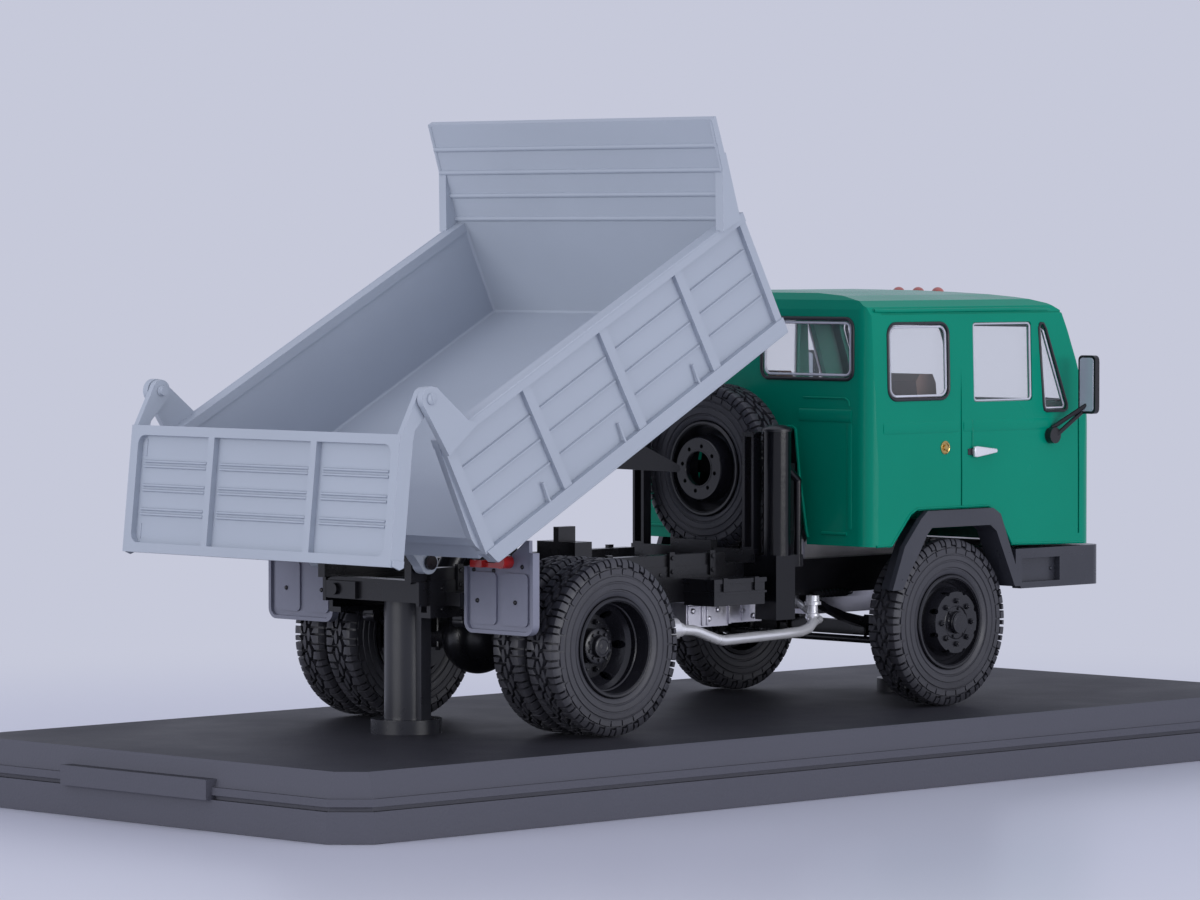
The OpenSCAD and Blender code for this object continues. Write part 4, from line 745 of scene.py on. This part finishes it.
# tailgate
s = Shape(GATE_M)
for a, b in ((-24.2, -11.5), (-8.8, 8.8), (11.5, 24.2)):
    for wz in (10.2, 13.4, 16.6):
        x0 = -5.58
        for dz in (-0.34, 0.34):
            s.prism([(x0, wz + dz - 0.24), (x0 - 0.36, wz + dz - 0.12), (x0 - 0.36, wz + dz + 0.10), (x0, wz + dz + 0.22)], a, b, "xz")
for sg in (-1, 1):
    s.tube([(-5.62, sg * 24.1, 17.6), (-5.62, sg * 24.1, 19.9)], 0.16, 6)
    s.tube([(-5.62, sg * 24.1, 6.6), (-5.62, sg * 24.1, 8.6)], 0.16, 6)
    # latch hook on the lower corner
    s.prism([(-6.3, 4.8), (-5.0, 4.4), (-4.3, 4.75), (-4.3, 5.6), (-6.3, 5.6)], sg * 26.45, sg * 26.75, "xz")
    m = T(EAR_U, sg * 25.6, EAR_W) @ R(90 * sg, "X")
    s.button(m, 0.75, 0.3, 16)
s.make("tailgate_pressings", "bed_paint", "gate", smooth=35, bevel=0.05)

# ------------------------------------------------------------------ chassis
s = Shape()
for sg in (-1, 1):
    yo = sg * 10.0
    for x in (-17, -13.4, -9.4, -5, 0, 5, 9.4, 13.4, 18, 24, 45.8, 49.2, 84.5, 88.5, 92.5):
        for z in (17.1, 19.9):
            s.button(T(x, yo - sg * 0.02, z) @ R(-90 * sg, "X"), 0.30, 0.22, 8)
    for x in (-14.0, -8.0, 0.0, 14.0, 26.0, 34.0):
        s.box(x - 0.5, x + 0.5, sg * 9.7, sg * 10.35, 19.6, 23.0) if sg > 0 else s.box(x - 0.5, x + 0.5, -10.35, -9.7, 19.6, 23.0)
        s.hexnut(T(x, sg * 10.33, 22.2) @ R(-90 * sg, "X"), 0.33, 0.25)
        s.hexnut(T(x, sg * 10.33, 20.3) @ R(-90 * sg, "X"), 0.33, 0.25)
s.make("frame_rivets", "black_metal", ROOT, smooth=35)
s = Shape()
for sg in (-1, 1):
    # U-bolts of the rear springs
    for dx in (-1.35, 1.35):
        s.tube([(dx, sg * 7.6, 10.4), (dx, sg * 7.6, 14.9), (dx, sg * 7.9, 15.2), (dx, sg * 9.7, 15.2), (dx, sg * 10.0, 14.9), (dx, sg * 10.0, 10.4)], 0.26, 8)
        for y in (7.6, 10.0):
            s.hexnut(T(dx, sg * y, 10.0), 0.42, 0.5)
    # front springs
    for dx in (-1.2, 1.2):
        s.tube([(WB + dx, sg * 7.7, 9.0), (WB + dx, sg * 7.7, 12.2), (WB + dx, sg * 9.9, 12.2), (WB + dx, sg * 9.9, 9.0)], 0.24, 8)
    # spring eyes
    for x0 in (-12.5, 12.5, WB - 14.5, WB + 14.5):
        m = T(x0, sg * 9.85, 15.2) @ R(90 * sg, "X")
        s.lathe([(0.0001, 0), (0.72, 0), (0.78, 0.15), (0.78, 1.95), (0.72, 2.1), (0.0001, 2.1)], 20, m)
    # shock absorbers of the front axle
    s.tube([(WB + 3.6, sg * 11.4, 10.6), (WB + 2.2, sg * 11.2, 17.8)], 0.62, 12)
    s.tube([(WB + 3.4, sg * 11.4, 11.6), (WB + 2.6, sg * 11.26, 15.4)], 0.86, 12)
s.make("spring_fittings", "black_plastic", ROOT, smooth=40)
# brake chambers and pipe runs
s = Shape()
for sg in (-1, 1):
    m = T(-5.6, sg * 12.9, 14.6) @ R(75, "Y")
    s.lathe([(0.0001, -1.2), (1.1, -1.1), (1.5, -0.7), (1.62, -0.1), (1.72, 0), (1.62, 0.1), (1.5, 0.8), (1.0, 1.2), (0.0001, 1.3)], 24, m)
    s.tube([(-4.2, sg * 12.9, 14.2), (-2.0, sg * 12.6, 13.4)], 0.25, 8)
    s.tube([(-18, sg * 7.2, 20.2), (0, sg * 7.1, 20.3), (20, sg * 7.2, 20.1), (36, sg * 7.1, 20.2)], 0.22, 6)
s.make("brake_fittings", "black_plastic", ROOT, smooth=40)
# ribbed castings on the transfer case
s = Shape()
for x in (30.2, 32.9, 33.9):
    s.box(x - 0.16, x + 0.16, -9.5, -9.2, 12.5, 15.3)
for x in (41.2, 44.6):
    s.box(x - 0.16, x + 0.16, -9.25, -8.9, 12.8, 15.3)
s.box(38.0, 38.5, -9.6, -8.8, 12.5, 15.4)
s.tube([(30.0, -9.3, 15.45), (44.9, -9.2, 15.25)], 0.24, 8)
for x, z in ((31.1, 14.6), (34.3, 13.4), (36.0, 14.6), (41.3, 14.2), (43.4, 13.4)):
    s.button(T(x, -9.28 if x < 38 else -8.98, z) @ R(90, "X"), 0.42, 0.34, 14)
s.make("transfer_case_ribs", "bare_metal", ROOT, bevel=0.06, smooth=40)
# the exhaust's outer pipe over its core, with the clamp and flange at its ends
s = Shape()
s.tube([(53.1, -10.9, 13.0), (52.9, -11.7, 12.1), (51.6, -12.0, 11.35), (49.9, -12.0, 10.95), (46.0, -12.0, 10.8), (35.9, -12.0, 10.55),
        (34.3, -12.0, 10.5), (33.0, -12.0, 10.75), (31.6, -12.0, 11.2), (29.5, -12.0, 11.9), (28.4, -12.0, 12.2), (27.2, -12.0, 12.3),
        (24.7, -12.0, 12.5)], 0.74, 16)
s.tube([(26.0, -12.0, 12.4), (25.3, -12.0, 12.45)], 0.98, 18)
s.lathe([(0.0001, 0), (1.0, 0), (1.0, 0.35), (0.74, 0.45), (0.74, 1.5), (1.2, 1.6), (1.2, 2.0), (0.95, 2.1), (0.95, 2.9), (0.0001, 2.9)], 24, T(53.3, -11.2, 13.0))
s.make("exhaust_pipe_skin", "chrome", ROOT, smooth=60)
s = Shape()
for i in range(7):
    s.tube([(54.6 + 0.85 * i, -11.2, 16.1), (55.0 + 0.85 * i, -11.2, 16.1)], 0.62, 14)
s.tube([(53.8, -11.2, 16.1), (60.6, -11.2, 16.1), (61.6, -10.8, 16.1)], 0.42, 10)
s.make("exhaust_joint_bellows", "black_metal", ROOT, smooth=45)

# battery box lid clasps, fuel cap, intake top cap
s = Shape()
for z in (19.3,):
    s.box(30.2, 31.0, -16.15, -15.9, 17.6, 19.45)
    s.box(36.4, 37.2, -16.15, -15.9, 17.6, 19.45)
s.lathe([(1.95, 0), (2.16, 0.02), (2.16, 0.35), (2.02, 0.5), (1.2, 0.9), (0.0001, 1.0)], 40, T(42.5, -14.5, 39.35))
s.lathe([(0.9, 0), (1.15, 0.05), (1.15, 0.6), (0.95, 0.75), (0.0001, 0.78)], 24, T(37, 14.6, 20.5))
s.make("side_equipment_trim", "black_plastic", ROOT, smooth=40)

# mudflap fixings
s = Shape()
for sg in (-1, 1):
    for y, z in ((14.4, 22.5), (18.2, 22.5), (15.4, 18.5), (22.6, 18.5), (23.6, 23.2)):
        s.button(T(-15.72 if z < 22.4 else -15.4, sg * y, z) @ R(-90, "Y"), 0.32, 0.22, 10)
s.make("mudflap_bolts", "black_plastic", ROOT, smooth=40)
# spare wheel carrier bolts
s = Shape()
for sg in (-1, 1):
    for z in (23.6, 28.4, 33.2, 38.0):
        s.button(T(42.0, sg * 10.8, z) @ R(90, "Y"), 0.35, 0.22, 10)
    s.tube([(40.6, sg * 11.95, 39.1), (41.9, sg * 11.95, 39.1)], 0.2, 8)
s.make("carrier_bolts", "black_plastic", ROOT, smooth=40)

# ------------------------------------------------------------------ floor, backdrop, camera, light
SKY = (0.565, 0.584, 0.700)


def studio_floor():
    """a glossy pale table that fades into the plain surround away from the object"""
    m = material("studio_floor", (0.70, 0.71, 0.80), rough=0.30, grain=0.03, grain_scale=300, vary=0.012, vary_scale=3,
                 rough_vary=0.02)
    nt = m.node_tree
    L = nt.links.new
    b = nt.nodes["Principled BSDF"]
    out = nt.nodes["Material Output"]
    co = nt.nodes.new("ShaderNodeTexCoord")
    ln = nt.nodes.new("ShaderNodeVectorMath")
    ln.operation = "LENGTH"
    L(co.outputs["Object"], ln.inputs[0])
    mr = nt.nodes.new("ShaderNodeMapRange")
    mr.interpolation_type = "SMOOTHSTEP"
    mr.inputs["From Min"].default_value = 0.105
    mr.inputs["From Max"].default_value = 0.26
    L(ln.outputs["Value"], mr.inputs["Value"])
    em = nt.nodes.new("ShaderNodeEmission")
    em.inputs["Color"].default_value = list(SKY) + [1]
    em.inputs["Strength"].default_value = 1.0
    mx = nt.nodes.new("ShaderNodeMixShader")
    L(mr.outputs["Result"], mx.inputs["Fac"])
    L(b.outputs["BSDF"], mx.inputs[1])
    L(em.outputs["Emission"], mx.inputs[2])
    L(mx.outputs["Shader"], out.inputs["Surface"])
    return m


me = bpy.data.meshes.new("floor")
me.from_pydata([(-8, -8, -0.00005), (8, -8, -0.00005), (8, 8, -0.00005), (-8, 8, -0.00005)], [], [(0, 1, 2, 3)])
floor = bpy.data.objects.new("floor", me)
bpy.context.scene.collection.objects.link(floor)
me.materials.append(studio_floor())

cam = bpy.data.cameras.new("camera")
cam.lens = 170.62
cam.sensor_width = 36.0
cam.clip_start = 0.01
cam.clip_end = 20
co = bpy.data.objects.new("camera", cam)
co.location = (-0.5654, -0.5598, 0.0753)
co.rotation_euler = (math.radians(87.848), math.radians(0.0), math.radians(-44.656))
bpy.context.scene.collection.objects.link(co)
bpy.context.scene.camera = co


def area(name, loc, target, size, power, colour=(1, 1, 1), size_y=None):
    l = bpy.data.lights.new(name, "AREA")
    l.energy = power
    l.color = colour
    l.shape = "RECTANGLE"
    l.size = size
    l.size_y = size_y or size
    o = bpy.data.objects.new(name, l)
    o.location = loc
    o.rotation_euler = (Vector(target) - Vector(loc)).to_track_quat("-Z", "Y").to_euler()
    bpy.context.scene.collection.objects.link(o)
    return o


area("top_softbox", (0.1, -0.1, 1.1), (0, 0, 0.03), 1.0, 0.6, (1.0, 1.0, 1.0))
area("side_softbox", (0.2, -1.2, 0.17), (0.0, 0, 0.05), 0.9, 4.4, (0.99, 0.99, 1.0), 0.30)
area("rear_softbox", (-1.2, 0.1, 0.26), (0, 0, 0.05), 0.9, 4.6, (0.99, 0.99, 1.0), 0.45)

w = bpy.data.worlds.new("studio")
bpy.context.scene.world = w
w.use_nodes = True
bg = w.node_tree.nodes["Background"]
bg.inputs["Color"].default_value = list(SKY) + [1]
bg.inputs["Strength"].default_value = 1.0
vs = bpy.context.scene.view_settings
vs.view_transform = "Standard"
vs.look = "None"
